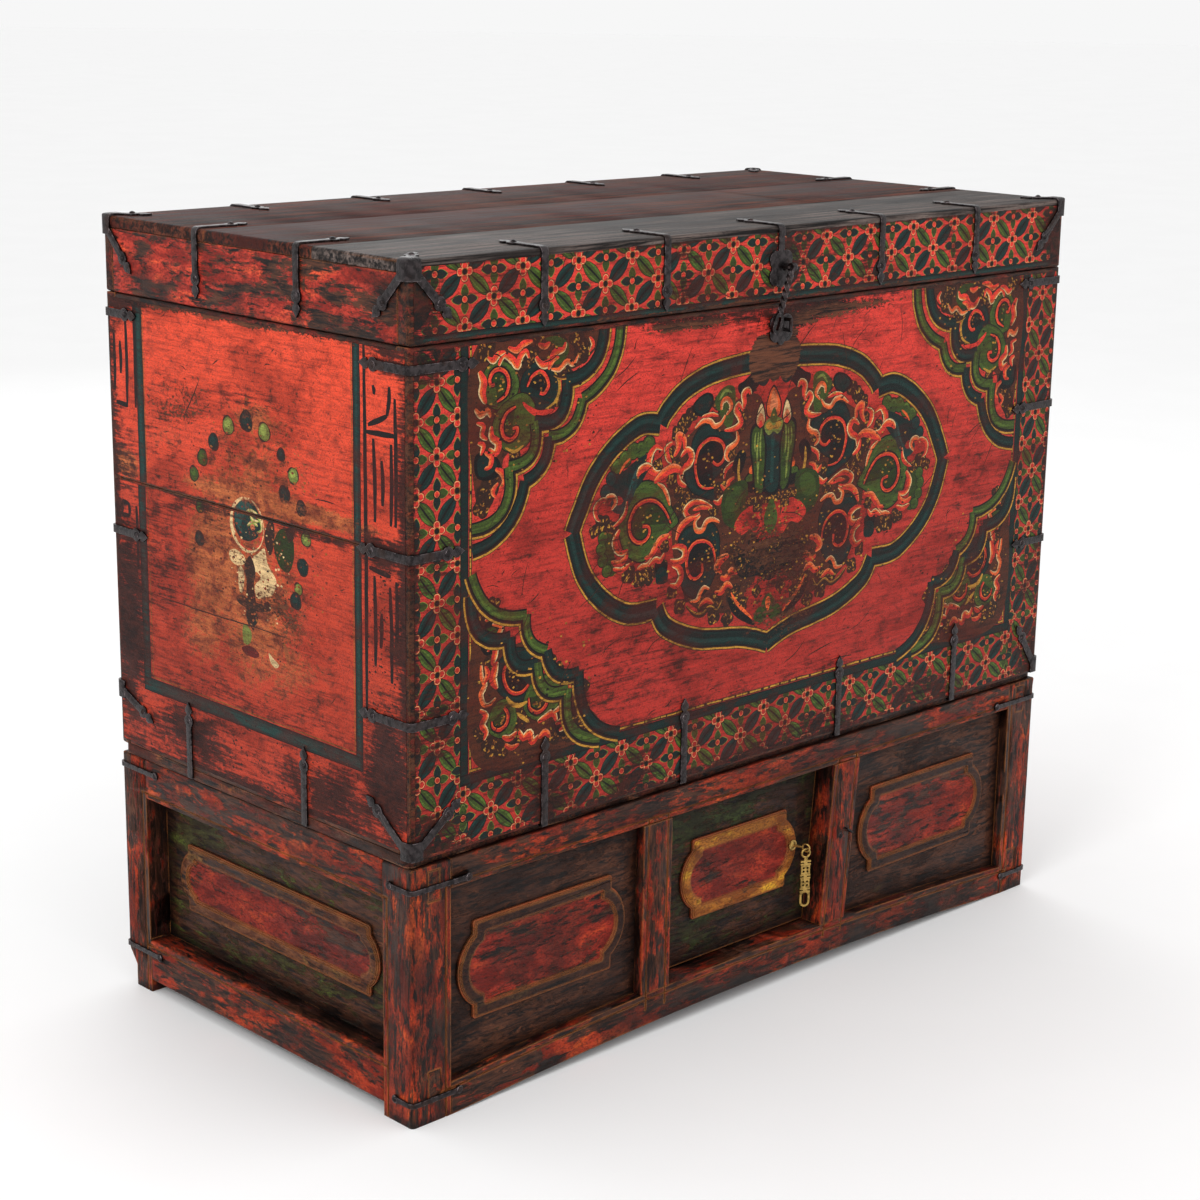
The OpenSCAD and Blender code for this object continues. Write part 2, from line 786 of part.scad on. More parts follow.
module pendant_outline() {
    collar = 14;
    loop_r = 7;
    loop_wire = 2.6;
    loop_top = -51.5;
    loop_end = -pendant_l + loop_r;
    stem = [4.4, pendant_l - 16];
    block_z = [-16.5, -35.5];
    piercing_r = 1.5;
    difference() {
        union() {
            translate([-stem[0] / 2, -stem[1]]) square(stem);
            for (z = [-5, -9, -24, -28, -43, -47])
                translate([-collar / 2, z - 1.2]) square([collar, 2.4]);
            for (z = block_z)
                translate([-collar / 2 + 0.8, z - 6]) square([collar - 1.6, 12]);
            for (z = [loop_end, loop_top])
                translate([0, z]) circle(loop_r);
            translate([-loop_r, loop_end]) square([2 * loop_r, loop_top - loop_end]);
        }
        for (z = block_z, side = [-1, 1], up = [-1, 1])
            translate([side * 2.7, z + up * 2.4]) circle(piercing_r);
        for (z = [loop_end, loop_top - 1])
            translate([0, z]) circle(loop_r - loop_wire);
        translate([-loop_r + loop_wire, loop_end])
            square([2 * (loop_r - loop_wire), loop_top - 1 - loop_end]);
    }
}

module pull_pendant() {
    color(brass()) at_origin()
        translate([pull_ring[0], pull_ring[1], pendant_eye_z]) rotate([0, 0, -pendant_turn]) {
            rotate([90, 0, 0]) ring(pendant_eye_r, pendant_wire_r);
            translate([0, pendant_t / 2, -pendant_eye_r - 0.6]) rotate([90, 0, 0])
                linear_extrude(pendant_t) pendant_outline();
        }
}

// Iron straps and nails

// A nail on a face: a domed head on the iron and a shank in the wood
module nail() {
    dome_r = (nail_r * nail_r + nail_h * nail_h) / (2 * nail_h);
    translate([0, 0, strap_t]) {
        intersection() {
            translate([0, 0, nail_h - dome_r]) sphere(dome_r);
            cylinder(r = nail_r + 1, h = nail_h + 1);
        }
    }
    translate([0, 0, -shank_l]) cylinder(r = shank_r, h = shank_l + strap_t + 0.5);
}

// The end of a strap, pointing along x with its point at l: a lobe for the nail and a lance
module leaf_outline(l) {
    n = nail_back;
    lance = [[0, 0.2], [0.36, 0.2], [0.46, 0.38], [0.62, 0.4], [0.8, 0.2]];
    difference() {
        union() {
            translate([0, -strap_w / 2]) square([l - n, strap_w]);
            translate([l - n, 0]) circle(leaf_w / 2);
            polygon(concat([for (p = lance) [l - n + p[0] * n, -p[1] * leaf_w]], [[l, 0]],
                [for (i = [len(lance) - 1:-1:0]) [l - n + lance[i][0] * n, lance[i][1] * leaf_w]]));
        }
        translate([l - n, 0]) circle(shank_r + 0.1);
    }
}

// A strap that lies flat on a face, or its nail
module strap_end(l, nails) {
    if (nails) translate([l - nail_back, 0, 0]) nail();
    else linear_extrude(strap_t) leaf_outline(l);
}

// The bend of a strap round an edge, as an outline: legs a along x and b along y, outside the axes
module bend_outline(a, b, r, t) {
    difference() {
        translate([-t, -t]) worn_rect(a + t, b + t, r + t, [1, 0, 0, 0]);
        worn_rect(a + 1, b + 1, r, [1, 0, 0, 0]);
    }
}

// A strap round an upright corner, from the corner's edge along x and along y
module corner_wrap(x_leg, y_leg, z, nails) {
    lead = 12;
    translate([0, 0, z]) {
        if (!nails)
            translate([0, 0, -strap_w / 2]) linear_extrude(strap_w)
                bend_outline(lead, lead, corner_r, strap_t);
        translate([lead, 0, 0]) rotate([90, 0, 0]) strap_end(x_leg - lead, nails);
        translate([0, lead, 0]) rotate([90, 0, -90]) rotate([0, 0, 180]) strap_end(y_leg - lead, nails);
    }
}

// The four upright corners, each with x and y legs running away from it
module at_corner(right, back) {
    translate([right ? W : 0, back ? D : 0, 0])
        mirror([right ? 1 : 0, 0, 0]) mirror([0, back ? 1 : 0, 0]) children();
}

module trunk_wraps(nails) {
    for (s = front_left_wraps) at_corner(false, false) corner_wrap(s[1], s[2], trunk_top - s[0], nails);
    for (s = front_right_wraps) at_corner(true, false) corner_wrap(s[1], s[2], trunk_top - s[0], nails);
    for (s = back_wraps, right = [false, true])
        at_corner(right, true) corner_wrap(s[1], s[2], trunk_top - s[0], nails);
}

module trunk_corner_straps() {
    color(iron()) at_origin() trunk_wraps(false);
}

// A brace: two slanted legs that meet in a short band round the corner
module brace(legs, z, nails, banded = true) {
    start = banded ? 8 : 8.6;
    band_h = 22;
    translate([0, 0, z]) {
        if (!nails && banded)
            translate([0, 0, -band_h / 2]) linear_extrude(band_h)
                bend_outline(start + 7, start + 7, corner_r, strap_t + BEND);
        translate([start, 0, 0]) rotate([90, 0, 0]) rotate([0, 0, legs[0][1]])
            strap_end(legs[0][0] - start, nails);
        translate([0, start, 0]) rotate([90, 0, -90]) rotate([0, 0, 180 - legs[1][1]])
            strap_end(legs[1][0] - start, nails);
    }
}

trunk_brace_z = cab_h + foot_gap + 13;
back_brace_rise = 84;
back_brace_z = cab_h + back_brace_rise;

module trunk_braces(nails) {
    at_corner(false, false) brace(front_left_brace, trunk_brace_z, nails);
    at_corner(true, false) brace(front_right_brace, trunk_brace_z, nails);
    for (right = [false, true]) at_corner(right, true) brace(back_brace, back_brace_z, nails);
}

module trunk_corner_braces() {
    color(iron()) at_origin() trunk_braces(false);
}

// Straps up from the trunk's bottom edge: hooked under the front and back, plain at the sides
module bottom_strap(h, hook, nails) {
    if (!nails && hook)
        translate([-strap_w / 2, 0, 0]) rotate([90, 0, 90]) linear_extrude(strap_w)
            translate([-strap_t, 0]) polygon([[0, -strap_t], [bottom_setback, -strap_t],
                [bottom_setback, 0], [strap_t, 0], [strap_t, 14], [0, 14]]);
    rotate([90, 0, 0]) rotate([0, 0, 90]) strap_end(h, nails);
}

module trunk_bottom_set(nails) {
    front_z = cab_h + foot_gap;
    side_z = cab_h + 2;
    for (x = trunk_front_x) {
        translate([x, 0, front_z]) bottom_strap(bottom_leg_h, true, nails);
        translate([W - x, D, front_z]) rotate([0, 0, 180]) bottom_strap(bottom_leg_h, true, nails);
    }
    for (y = trunk_side_y) {
        translate([0, y, side_z]) rotate([0, 0, -90]) bottom_strap(side_leg_h, false, nails);
        translate([W, y, side_z]) rotate([0, 0, 90]) bottom_strap(side_leg_h, false, nails);
    }
}

module trunk_bottom_straps() {
    color(iron()) at_origin() trunk_bottom_set(false);
}

// A strap over a top edge: down the face along -z, back over the top along y
module edge_strap(down, over, nails) {
    lead = 12;
    if (!nails)
        translate([-strap_w / 2, 0, 0]) rotate([90, 0, 90]) linear_extrude(strap_w)
            mirror([0, 1]) bend_outline(lead, lead, trunk_edge_r, strap_t);
    translate([0, 0, -lead]) rotate([90, 0, 0]) rotate([0, 0, -90]) strap_end(down - lead, nails);
    translate([0, lead, 0]) rotate([0, 0, 90]) strap_end(over - lead, nails);
}

lid_down_leg = lid_h - 5;

module lid_edge_set(nails) {
    for (x = lid_front_x)
        translate([x, 0, lid_top]) edge_strap(lid_down_leg, lid_top_leg, nails);
    for (x = lid_back_x)
        translate([x, D, lid_top]) rotate([0, 0, 180]) edge_strap(lid_down_leg, lid_top_leg, nails);
    for (y = lid_side_y) {
        translate([0, y, lid_top]) rotate([0, 0, -90]) edge_strap(lid_down_leg - 5, lid_top_leg, nails);
        translate([W, y, lid_top]) rotate([0, 0, 90]) edge_strap(lid_down_leg - 5, lid_top_leg, nails);
    }
}

module lid_edge_straps() {
    color(iron()) at_origin() lid_edge_set(false);
}

// A block with worn edges at a top corner, its faces t outside the wood's
module corner_block(size, t) {
    translate([-t, -t, t]) intersection() {
        translate([0, 0, -size[2] - t])
            linear_extrude(size[2] + t) worn_rect(size[0] + t, size[1] + t, corner_r + t, [1, 0, 0, 0]);
        translate([0, 0, -size[2] - t])
            along_y(size[1] + t) worn_rect(size[0] + t, size[2] + t, trunk_edge_r + t, [0, 0, 0, 1]);
        translate([0, 0, -size[2] - t])
            along_x(size[0] + t) worn_rect(size[1] + t, size[2] + t, trunk_edge_r + t, [0, 0, 0, 1]);
    }
}

cap_size = [16, 16, 22];
lid_brace_drop = 14;
lid_brace_z = lid_top - lid_brace_drop;
// The corner's third leg starts this far in from both faces
lid_corner_in = 9.7;

// A lid corner: a cap, two legs that slant down the faces and one that lies on the top
module lid_brace(nails) {
    brace(lid_brace_legs, lid_brace_z, nails, false);
    translate([lid_corner_in, lid_corner_in, lid_top]) rotate([0, 0, 45]) strap_end(lid_brace_over, nails);
    if (!nails)
        translate([0, 0, lid_top]) difference() {
            corner_block(cap_size, strap_t + BEND);
            corner_block([W, D, lid_h], 0);
        }
}

module lid_braces(nails) {
    for (right = [false, true], back = [false, true]) at_corner(right, back) lid_brace(nails);
}

module lid_corner_braces() {
    color(iron()) at_origin() lid_braces(false);
}

// Cabinet straps: thin bands round the posts

module thin_wrap(x_leg, y_leg, z, nails) {
    inset = 5;
    leg_nails = [[x_leg - inset, 0], [0, y_leg - inset]];
    translate([0, 0, z]) {
        if (nails) {
            translate([x_leg - inset, 0, 0]) rotate([90, 0, 0]) nail();
            translate([0, y_leg - inset, 0]) rotate([90, 0, -90]) nail();
        } else {
            difference() {
                union() {
                    translate([0, 0, -thin_strap_w / 2]) linear_extrude(thin_strap_w)
                        bend_outline(x_leg - inset, y_leg - inset, corner_r, strap_t);
                    translate([x_leg - inset, 0, 0]) rotate([90, 0, 0])
                        cylinder(r = nail_r + 1, h = strap_t);
                    translate([0, y_leg - inset, 0]) rotate([90, 0, -90])
                        cylinder(r = nail_r + 1, h = strap_t);
                }
                for (p = leg_nails)
                    translate([p[0], p[1], 0])
                        rotate(p[0] > 0 ? [90, 0, 0] : [90, 0, -90])
                            translate([0, 0, -1]) cylinder(r = shank_r + 0.1, h = strap_t + 2);
            }
        }
    }
}

module cabinet_wraps(nails) {
    for (s = cab_front_left) at_corner(false, false) thin_wrap(s[1], s[2], s[0], nails);
    for (s = cab_front_right) at_corner(true, false) thin_wrap(s[1], s[2], s[0], nails);
    for (s = cab_back, right = [false, true]) at_corner(right, true) thin_wrap(s[1], s[2], s[0], nails);
}

module cabinet_straps() {
    color(iron()) at_origin() cabinet_wraps(false);
}

mullion_staple_at = [right_mullion_x + 3, 182];

module cabinet_nails() {
    color(iron()) at_origin() {
        cabinet_wraps(true);
        translate([mullion_staple_at[0] - 12, 0, mullion_staple_at[1] - 6]) rotate([90, 0, 0])
            translate([0, 0, -strap_t]) nail();
    }
}

// A bent bar that stands out of a face, in the plane of x and the face's normal
module staple(r, reach, half, root) {
    for (side = [-1, 1]) {
        translate([side * half, 0, -root]) cylinder(r = r, h = root + reach);
        translate([side * half, 0, reach]) sphere(r);
    }
    translate([-half, 0, reach]) rotate([0, 90, 0]) cylinder(r = r, h = 2 * half);
}

module mullion_staple() {
    color(iron()) at_origin()
        on_front(mullion_staple_at[0], mullion_staple_at[1])
            rotate([0, 0, -35]) staple(1.3, 6, 6, 0);
}

// Trunk boards

module bottom_board_blank() {
    translate([0, bottom_setback, cab_h]) linear_extrude(bottom_t)
        worn_rect(W, D - 2 * bottom_setback, foot_corner_r);
}

module trunk_bottom_board() {
    color(brown_wood()) at_origin() bottom_board_blank();
}

// A front or back board, with rounded top edge and corners, over the bottom board's edge
module end_board() {
    difference() {
        intersection() {
            translate([0, 0, cab_h + foot_gap])
                along_x(W) worn_rect(board_t, trunk_h - foot_gap, trunk_edge_r, [1, 0, 0, 1]);
            linear_extrude(trunk_top + 1) worn_rect(W, board_t, corner_r, [1, 1, 0, 0]);
            translate([0, 0, cab_h + foot_gap])
                along_y(board_t) worn_rect(W, trunk_h, foot_corner_r, [1, 1, 0, 0]);
        }
        bottom_board_blank();
    }
}

module trunk_front_board() {
    color(worn_red()) at_origin() end_board();
}

module trunk_back_board() {
    color(worn_red()) at_origin() translate([0, D, 0]) mirror([0, 1, 0]) end_board();
}

side_low_z = cab_h + bottom_t;
side_seam_z = trunk_top - side_seam;

module side_board(z0, z1, corners) {
    translate([0, D - board_t, z0]) rotate([90, 0, 0])
        linear_extrude(D - 2 * board_t) worn_rect(board_t, z1 - z0, trunk_edge_r, corners);
}

module trunk_left_upper_board() {
    color(worn_red()) at_origin() side_board(side_seam_z, trunk_top, [0, 0, 0, 1]);
}

module trunk_left_lower_board() {
    color(worn_red()) at_origin() side_board(side_low_z, side_seam_z, [0, 0, 0, 0]);
}

module trunk_right_upper_board() {
    color(worn_red()) at_origin()
        translate([W, 0, 0]) mirror([1, 0, 0]) side_board(side_seam_z, trunk_top, [0, 0, 0, 1]);
}

module trunk_right_lower_board() {
    color(worn_red()) at_origin()
        translate([W, 0, 0]) mirror([1, 0, 0]) side_board(side_low_z, side_seam_z, [0, 0, 0, 0]);
}

// Lid boards and rails

lid_rail_h = lid_h - lid_top_t;
lid_board_y = [0, lid_front_board_w, lid_front_board_w + lid_middle_board_w, D];

module lid_board(i) {
    y0 = lid_board_y[i];
    d = lid_board_y[i + 1] - y0;
    intersection() {
        translate([0, y0, lid_top - lid_top_t])
            along_x(W) worn_rect(d, lid_top_t, trunk_edge_r, [0, 0, i == 2 ? 1 : 0, i == 0 ? 1 : 0]);
        translate([0, 0, lid_top - lid_top_t])
            along_y(D) worn_rect(W, lid_top_t, trunk_edge_r, [0, 0, 1, 1]);
        translate([0, 0, lid_bottom]) linear_extrude(lid_h + 1) worn_rect(W, D, corner_r);
    }
}

module lid_front_board() {
    color(dark_wood()) at_origin() lid_board(0);
}

module lid_middle_board() {
    color(brown_wood()) at_origin() lid_board(1);
}

module lid_back_board() {
    color(brown_wood()) at_origin() lid_board(2);
}

module lid_end_rail() {
    intersection() {
        translate([0, 0, lid_bottom])
            along_x(W) worn_rect(lid_rail_t, lid_rail_h, trunk_edge_r, [1, 0, 0, 0]);
        linear_extrude(lid_top) worn_rect(W, lid_rail_t, corner_r, [1, 1, 0, 0]);
        translate([0, 0, lid_bottom]) along_y(lid_rail_t) worn_rect(W, lid_h, corner_r, [1, 1, 0, 0]);
    }
}

module lid_front_rail() {
    color(worn_red()) at_origin() lid_end_rail();
}

module lid_back_rail() {
    color(worn_red()) at_origin() translate([0, D, 0]) mirror([0, 1, 0]) lid_end_rail();
}

module lid_side_rail() {
    translate([0, D - lid_rail_t, lid_bottom]) rotate([90, 0, 0])
        linear_extrude(D - 2 * lid_rail_t) worn_rect(lid_rail_t, lid_rail_h, trunk_edge_r, [1, 0, 0, 0]);
}

module lid_left_rail() {
    color(worn_red()) at_origin() lid_side_rail();
}

module lid_right_rail() {
    color(worn_red()) at_origin() translate([W, 0, 0]) mirror([1, 0, 0]) lid_side_rail();
}

// Hinges: one knuckle on the lid between two on the trunk

knuckle_l = hinge_l / 3;
leaf_t = strap_t;
leaf_root = 16;
trunk_leaf_h = 74;

// A knuckle round the hinge's axis, with the root of its leaf on the back face
module knuckle(x, l, up, bore_r) {
    difference() {
        translate([x, 0, seam_z]) {
            translate([0, D + barrel_y, 0]) rotate([0, 90, 0]) cylinder(r = barrel_r, h = l);
            translate([0, D, up ? 0 : -leaf_root]) {
                translate([0, RUN, 0]) cube([l, leaf_t, leaf_root]);
                translate([0, 0, up ? leaf_root - 8 : 0]) cube([l, leaf_t, 8]);
            }
        }
        translate([x - 1, D + barrel_y, seam_z]) rotate([0, 90, 0]) cylinder(r = bore_r, h = l + 2);
    }
}

module trunk_leaves(nails) {
    for (x = hinge_x) {
        if (!nails) {
            for (side = [-1, 1])
                knuckle(x + side * knuckle_l - knuckle_l / 2 + (side < 0 ? 0 : RUN),
                    knuckle_l - RUN, false, hinge_pin_r);
            translate([x - hinge_l / 2, D, seam_z - leaf_root - 6]) cube([hinge_l, leaf_t, 7]);
        }
        translate([x, D, seam_z - leaf_root]) rotate([90, 0, 180]) rotate([0, 0, -90])
            strap_end(trunk_leaf_h, nails);
    }
}

module trunk_hinge_leaves() {
    color(iron()) at_origin() trunk_leaves(false);
}

module hinge_pins() {
    color(iron()) at_origin()
        for (x = hinge_x)
            translate([x - hinge_l / 2 - 3, D + barrel_y, seam_z]) rotate([0, 90, 0]) {
                cylinder(r = hinge_pin_r, h = hinge_l + 4);
                cylinder(r = barrel_r - 0.5, h = 3);
            }
}

// The lid's half comes over the top edge like the plain straps and ends in a knuckle
module lid_leaves(nails) {
    for (x = hinge_x) {
        if (!nails) {
            knuckle(x - knuckle_l / 2 + RUN, knuckle_l - 2 * RUN, true, hinge_pin_r + pin_clearance);
            translate([x - strap_w / 2, D, seam_z + leaf_root - 2])
                cube([strap_w, leaf_t, lid_top - seam_z - leaf_root - 8]);
        }
        translate([x, D, lid_top]) rotate([0, 0, 180]) {
            lead = 12;
            if (!nails)
                translate([-strap_w / 2, 0, 0]) rotate([90, 0, 90]) linear_extrude(strap_w)
                    mirror([0, 1]) bend_outline(lead, lead, trunk_edge_r, strap_t);
            translate([0, lead, 0]) rotate([0, 0, 90]) strap_end(lid_top_leg - lead, nails);
        }
    }
}

module lid_hinge_leaves() {
    color(iron()) at_origin() lid_leaves(false);
}

// Hasp plates, staples and hasp

module plate_outline(w, h) {
    r = w * 0.27;
    difference() {
        union() {
            translate([-w * 0.4, -h * 0.36]) square([w * 0.8, h * 0.72]);
            for (sx = [-1, 1], sy = [-1, 1])
                translate([sx * (w / 2 - r), sy * (h / 2 - r)]) circle(r);
            translate([0, -h * 0.42]) circle(w * 0.16);
        }
        for (sx = [-1, 1])
            translate([sx * w * 0.5, 0]) circle(w * 0.07);
    }
}

plate_w = 40;
plate_h = 42;
staple_half = 6.5;
lid_plate_z = hasp_z - 1;

module lid_hasp_plate() {
    color(iron()) at_origin()
        difference() {
            union() {
                on_front(hasp_x, lid_plate_z) linear_extrude(strap_t) plate_outline(plate_w, plate_h);
                translate([hasp_x - strap_w / 2, -strap_t, lid_plate_z + plate_h * 0.3])
                    cube([strap_w, strap_t, lid_top - lid_plate_z - plate_h * 0.3 - 10]);
                translate([hasp_x - strap_w / 2, 0, lid_top]) rotate([90, 0, 90]) linear_extrude(strap_w)
                    mirror([0, 1]) bend_outline(12, 12, trunk_edge_r, strap_t);
                translate([hasp_x, 12, lid_top]) rotate([0, 0, 90]) strap_end(lid_top_leg - 12, false);
            }
            for (side = [-1, 1])
                on_front(hasp_eye[0] + side * staple_half, hasp_eye[1])
                    translate([0, 0, -1]) cylinder(r = staple_r + 0.1, h = strap_t + 2);
        }
}

module lid_hasp_staple() {
    color(iron()) at_origin()
        on_front(hasp_eye[0], hasp_eye[1]) staple(staple_r, staple_reach, staple_half, 10);
}

module trunk_hasp_plate() {
    color(iron()) at_origin()
        difference() {
            on_front(trunk_staple[0] - 6, trunk_staple[1] - 4)
                linear_extrude(strap_t) plate_outline(plate_w, plate_h * 0.8);
            for (side = [-1, 1])
                on_front(trunk_staple[0], trunk_staple[1] + side * staple_half)
                    translate([0, 0, -1]) cylinder(r = staple_r + 0.1, h = strap_t + 2);
        }
}

module trunk_hasp_staple() {
    color(iron()) at_origin()
        on_front(trunk_staple[0], trunk_staple[1])
            rotate([0, 0, 90]) staple(staple_r, staple_reach, staple_half, 10);
}

// The hasp hangs from its eye: a square bar twisted one and a half turns, with a slotted loop
loop_w = 15;
loop_h = 26;
loop_t = 4.5;
slot_w = 6.4;
hasp_turns = 1.5;
bar_l = hasp_l - eye_r - loop_h / 2 + 3;

module rounded_slot(w, h, t) {
    for (s = [-1, 1])
        translate([0, s * (h - w) / 2, 0]) cylinder(r = w / 2, h = t);
    translate([-w / 2, -(h - w) / 2, 0]) cube([w, h - w, t]);
}

module hasp() {
    color(iron()) at_origin()
        translate([hasp_eye[0], -staple_reach, hasp_eye[1]])
            difference() {
                union() {
                    translate([-eye_l / 2, 0, 0]) rotate([0, 90, 0]) cylinder(r = eye_r, h = eye_l);
                    rotate([0, hasp_tilt, 0]) {
                        translate([0, 0, -eye_r + 2 - bar_l])
                            linear_extrude(bar_l, twist = hasp_turns * 360, slices = 36)
                                square(hasp_bar, center = true);
                        translate([0, loop_t / 2, -loop_drop]) rotate([90, 0, 0])
                            difference() {
                                rounded_slot(loop_w, loop_h, loop_t);
                                translate([0, 0, -1]) rounded_slot(slot_w, loop_h - 8.6, loop_t + 2);
                            }
                    }
                }
                translate([-eye_l, 0, 0]) rotate([0, 90, 0]) cylinder(r = staple_r + 0.1, h = 2 * eye_l);
            }
}

// All nails of one body

module trunk_nails() {
    color(iron()) at_origin() {
        trunk_wraps(true);
        trunk_braces(true);
        trunk_bottom_set(true);
        trunk_leaves(true);
    }
}

module lid_nails() {
    color(iron()) at_origin() {
        lid_edge_set(true);
        lid_braces(true);
        lid_leaves(true);
        translate([hasp_x, 12, lid_top]) rotate([0, 0, 90]) strap_end(lid_top_leg - 12, true);
    }
}

post_front_left();
post_front_right();
post_back_left();
post_back_right();
front_top_rail();
front_bottom_rail();
left_mullion();
right_mullion();
side_top_rails();
side_bottom_rails();
back_top_rail();
back_bottom_rail();
front_left_panel();
front_right_panel();
left_side_panel();
right_side_panel();
back_panel();
front_plaques();
side_plaques();
cabinet_floor();
cabinet_top_boards();
cabinet_straps();
cabinet_nails();
mullion_staple();
door_board();
door_plaque();
pull_pin();
pull_pendant();
trunk_bottom_board();
trunk_front_board();
trunk_back_board();
trunk_left_upper_board();
trunk_left_lower_board();
trunk_right_upper_board();
trunk_right_lower_board();
trunk_corner_straps();
trunk_corner_braces();
trunk_bottom_straps();
trunk_nails();
trunk_hinge_leaves();
hinge_pins();
trunk_hasp_plate();
trunk_hasp_staple();
lid_front_board();
lid_middle_board();
lid_back_board();
lid_front_rail();
lid_back_rail();
lid_left_rail();
lid_right_rail();
lid_edge_straps();
lid_corner_braces();
lid_nails();
lid_hinge_leaves();
lid_hasp_plate();
lid_hasp_staple();
hasp();
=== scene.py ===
import cmath
import json
import math
import random

import bmesh
import bpy
import numpy as np
from mathutils import Matrix, Vector, noise
from mathutils.geometry import delaunay_2d_cdt

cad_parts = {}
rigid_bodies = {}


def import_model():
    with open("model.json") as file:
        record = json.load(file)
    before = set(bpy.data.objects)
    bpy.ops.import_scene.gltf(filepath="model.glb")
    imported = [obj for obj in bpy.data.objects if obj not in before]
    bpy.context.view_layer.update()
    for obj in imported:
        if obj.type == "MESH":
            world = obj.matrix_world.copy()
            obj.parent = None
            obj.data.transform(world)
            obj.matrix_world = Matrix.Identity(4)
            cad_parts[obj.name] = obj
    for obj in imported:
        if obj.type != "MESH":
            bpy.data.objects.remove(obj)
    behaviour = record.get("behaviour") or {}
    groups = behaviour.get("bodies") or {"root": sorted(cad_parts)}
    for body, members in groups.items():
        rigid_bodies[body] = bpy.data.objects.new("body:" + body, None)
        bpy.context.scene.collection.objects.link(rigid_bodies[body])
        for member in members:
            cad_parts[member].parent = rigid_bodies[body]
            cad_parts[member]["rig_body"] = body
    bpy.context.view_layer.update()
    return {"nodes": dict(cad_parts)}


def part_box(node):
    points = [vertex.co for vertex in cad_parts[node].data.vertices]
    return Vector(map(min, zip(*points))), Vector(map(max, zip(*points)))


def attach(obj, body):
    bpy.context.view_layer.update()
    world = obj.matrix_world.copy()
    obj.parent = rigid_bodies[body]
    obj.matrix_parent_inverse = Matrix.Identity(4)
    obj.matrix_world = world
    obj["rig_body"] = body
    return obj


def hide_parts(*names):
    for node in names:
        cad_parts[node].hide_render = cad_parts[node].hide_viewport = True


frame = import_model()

bl_info = {
    "name": "Painted chest",
    "version": (1, 0, 0),
    "blender": (4, 5, 0),
    "location": "3D View > Sidebar > Chest",
    "description": "Finishes the wood, the paint and the iron of a painted storage chest",
    "category": "Object",
}

MM = 0.001
X, Y, Z = 0, 1, 2
# degrees up to which a turned surface is shaded smooth
SMOOTH_UP_TO = 38
# how fully a slightly bent corner takes a dent
DENT_GAIN = 6


def srgb(red, green, blue):
    """A colour given in screen values from 0 to 255, as linear light."""
    return tuple((v / 255 / 12.92 if v < 11 else ((v / 255 + 0.055) / 1.055) ** 2.4)
                 for v in (red, green, blue))


def colour_setting(name, description, value):
    return bpy.props.FloatVectorProperty(
        name=name, description=description, subtype="COLOR", size=3, min=0, max=1, default=value)


class ChestPaint(bpy.types.PropertyGroup):
    """Pigments of the painted trunk and lid."""
    red: colour_setting("Red", "Ground of the trunk", srgb(190, 52, 42))
    scarlet: colour_setting("Scarlet", "Petals and rings", srgb(200, 50, 38))
    orange: colour_setting("Orange", "Flames and petals", srgb(230, 96, 42))
    pink: colour_setting("Pink", "Middle tone of the petals", srgb(222, 124, 78))
    cream: colour_setting("Cream", "Edges of the petals", srgb(226, 190, 136))
    gold: colour_setting("Gold", "Raised edge lines", srgb(192, 138, 50))
    ochre: colour_setting("Ochre", "Small curls", srgb(146, 88, 34))
    teal: colour_setting("Teal", "Dark blue-green of bands and scrolls", srgb(12, 36, 33))
    leaf: colour_setting("Leaf green", "Light green leaves", srgb(62, 80, 28))
    lime: colour_setting("Lime", "Lit edges of green leaves", srgb(122, 134, 60))
    ink: colour_setting("Ink", "Thin dark outlines", srgb(14, 10, 10))
    umber: colour_setting("Umber", "Brown shadows", srgb(52, 28, 18))


class ChestWood(bpy.types.PropertyGroup):
    """Wood and worn paint of the cabinet, the boards and the lid."""
    # soot is also the colour of the painted shade in the recesses of worn paint
    soot: colour_setting("Soot", "Dark grime of handling and smoke", srgb(17, 11, 10))
    timber: colour_setting("Timber", "Bare old timber", srgb(98, 56, 36))
    # arris is also the colour of the painted highlight along rubbed edges
    arris: colour_setting("Arris", "Bare wood of rubbed edges", srgb(146, 88, 44))
    cabinet_red: colour_setting("Cabinet red", "Worn paint of the cabinet's frame", srgb(168, 54, 24))
    panel_red: colour_setting("Panel red", "Worn paint of the plaques", srgb(146, 40, 24))
    door_ochre: colour_setting("Door ochre", "Border of the door's plaque", srgb(176, 108, 36))
    wear: bpy.props.FloatProperty(
        name="Wear", description="How much of the cabinet's paint is gone", default=0.54, min=0, max=1,
        subtype="FACTOR")
    arris_round: bpy.props.FloatProperty(
        name="Rounding", description="Radius worn on every sharp edge of the wood",
        default=1.2 * MM, min=0.2 * MM, max=3 * MM, subtype="DISTANCE", unit="LENGTH")


class ChestIron(bpy.types.PropertyGroup):
    """Forged iron and the brass pull."""
    iron: colour_setting("Iron", "Forged iron", srgb(60, 54, 55))
    rust: colour_setting("Rust", "Brown patches on the iron", srgb(52, 36, 30))
    brass: colour_setting("Brass", "Cast brass of the pull", srgb(186, 152, 86))
    edge_round: bpy.props.FloatProperty(
        name="Rounding", description="Radius of the hammered edges of the straps",
        default=0.9 * MM, min=0.2 * MM, max=1.2 * MM, subtype="DISTANCE", unit="LENGTH")


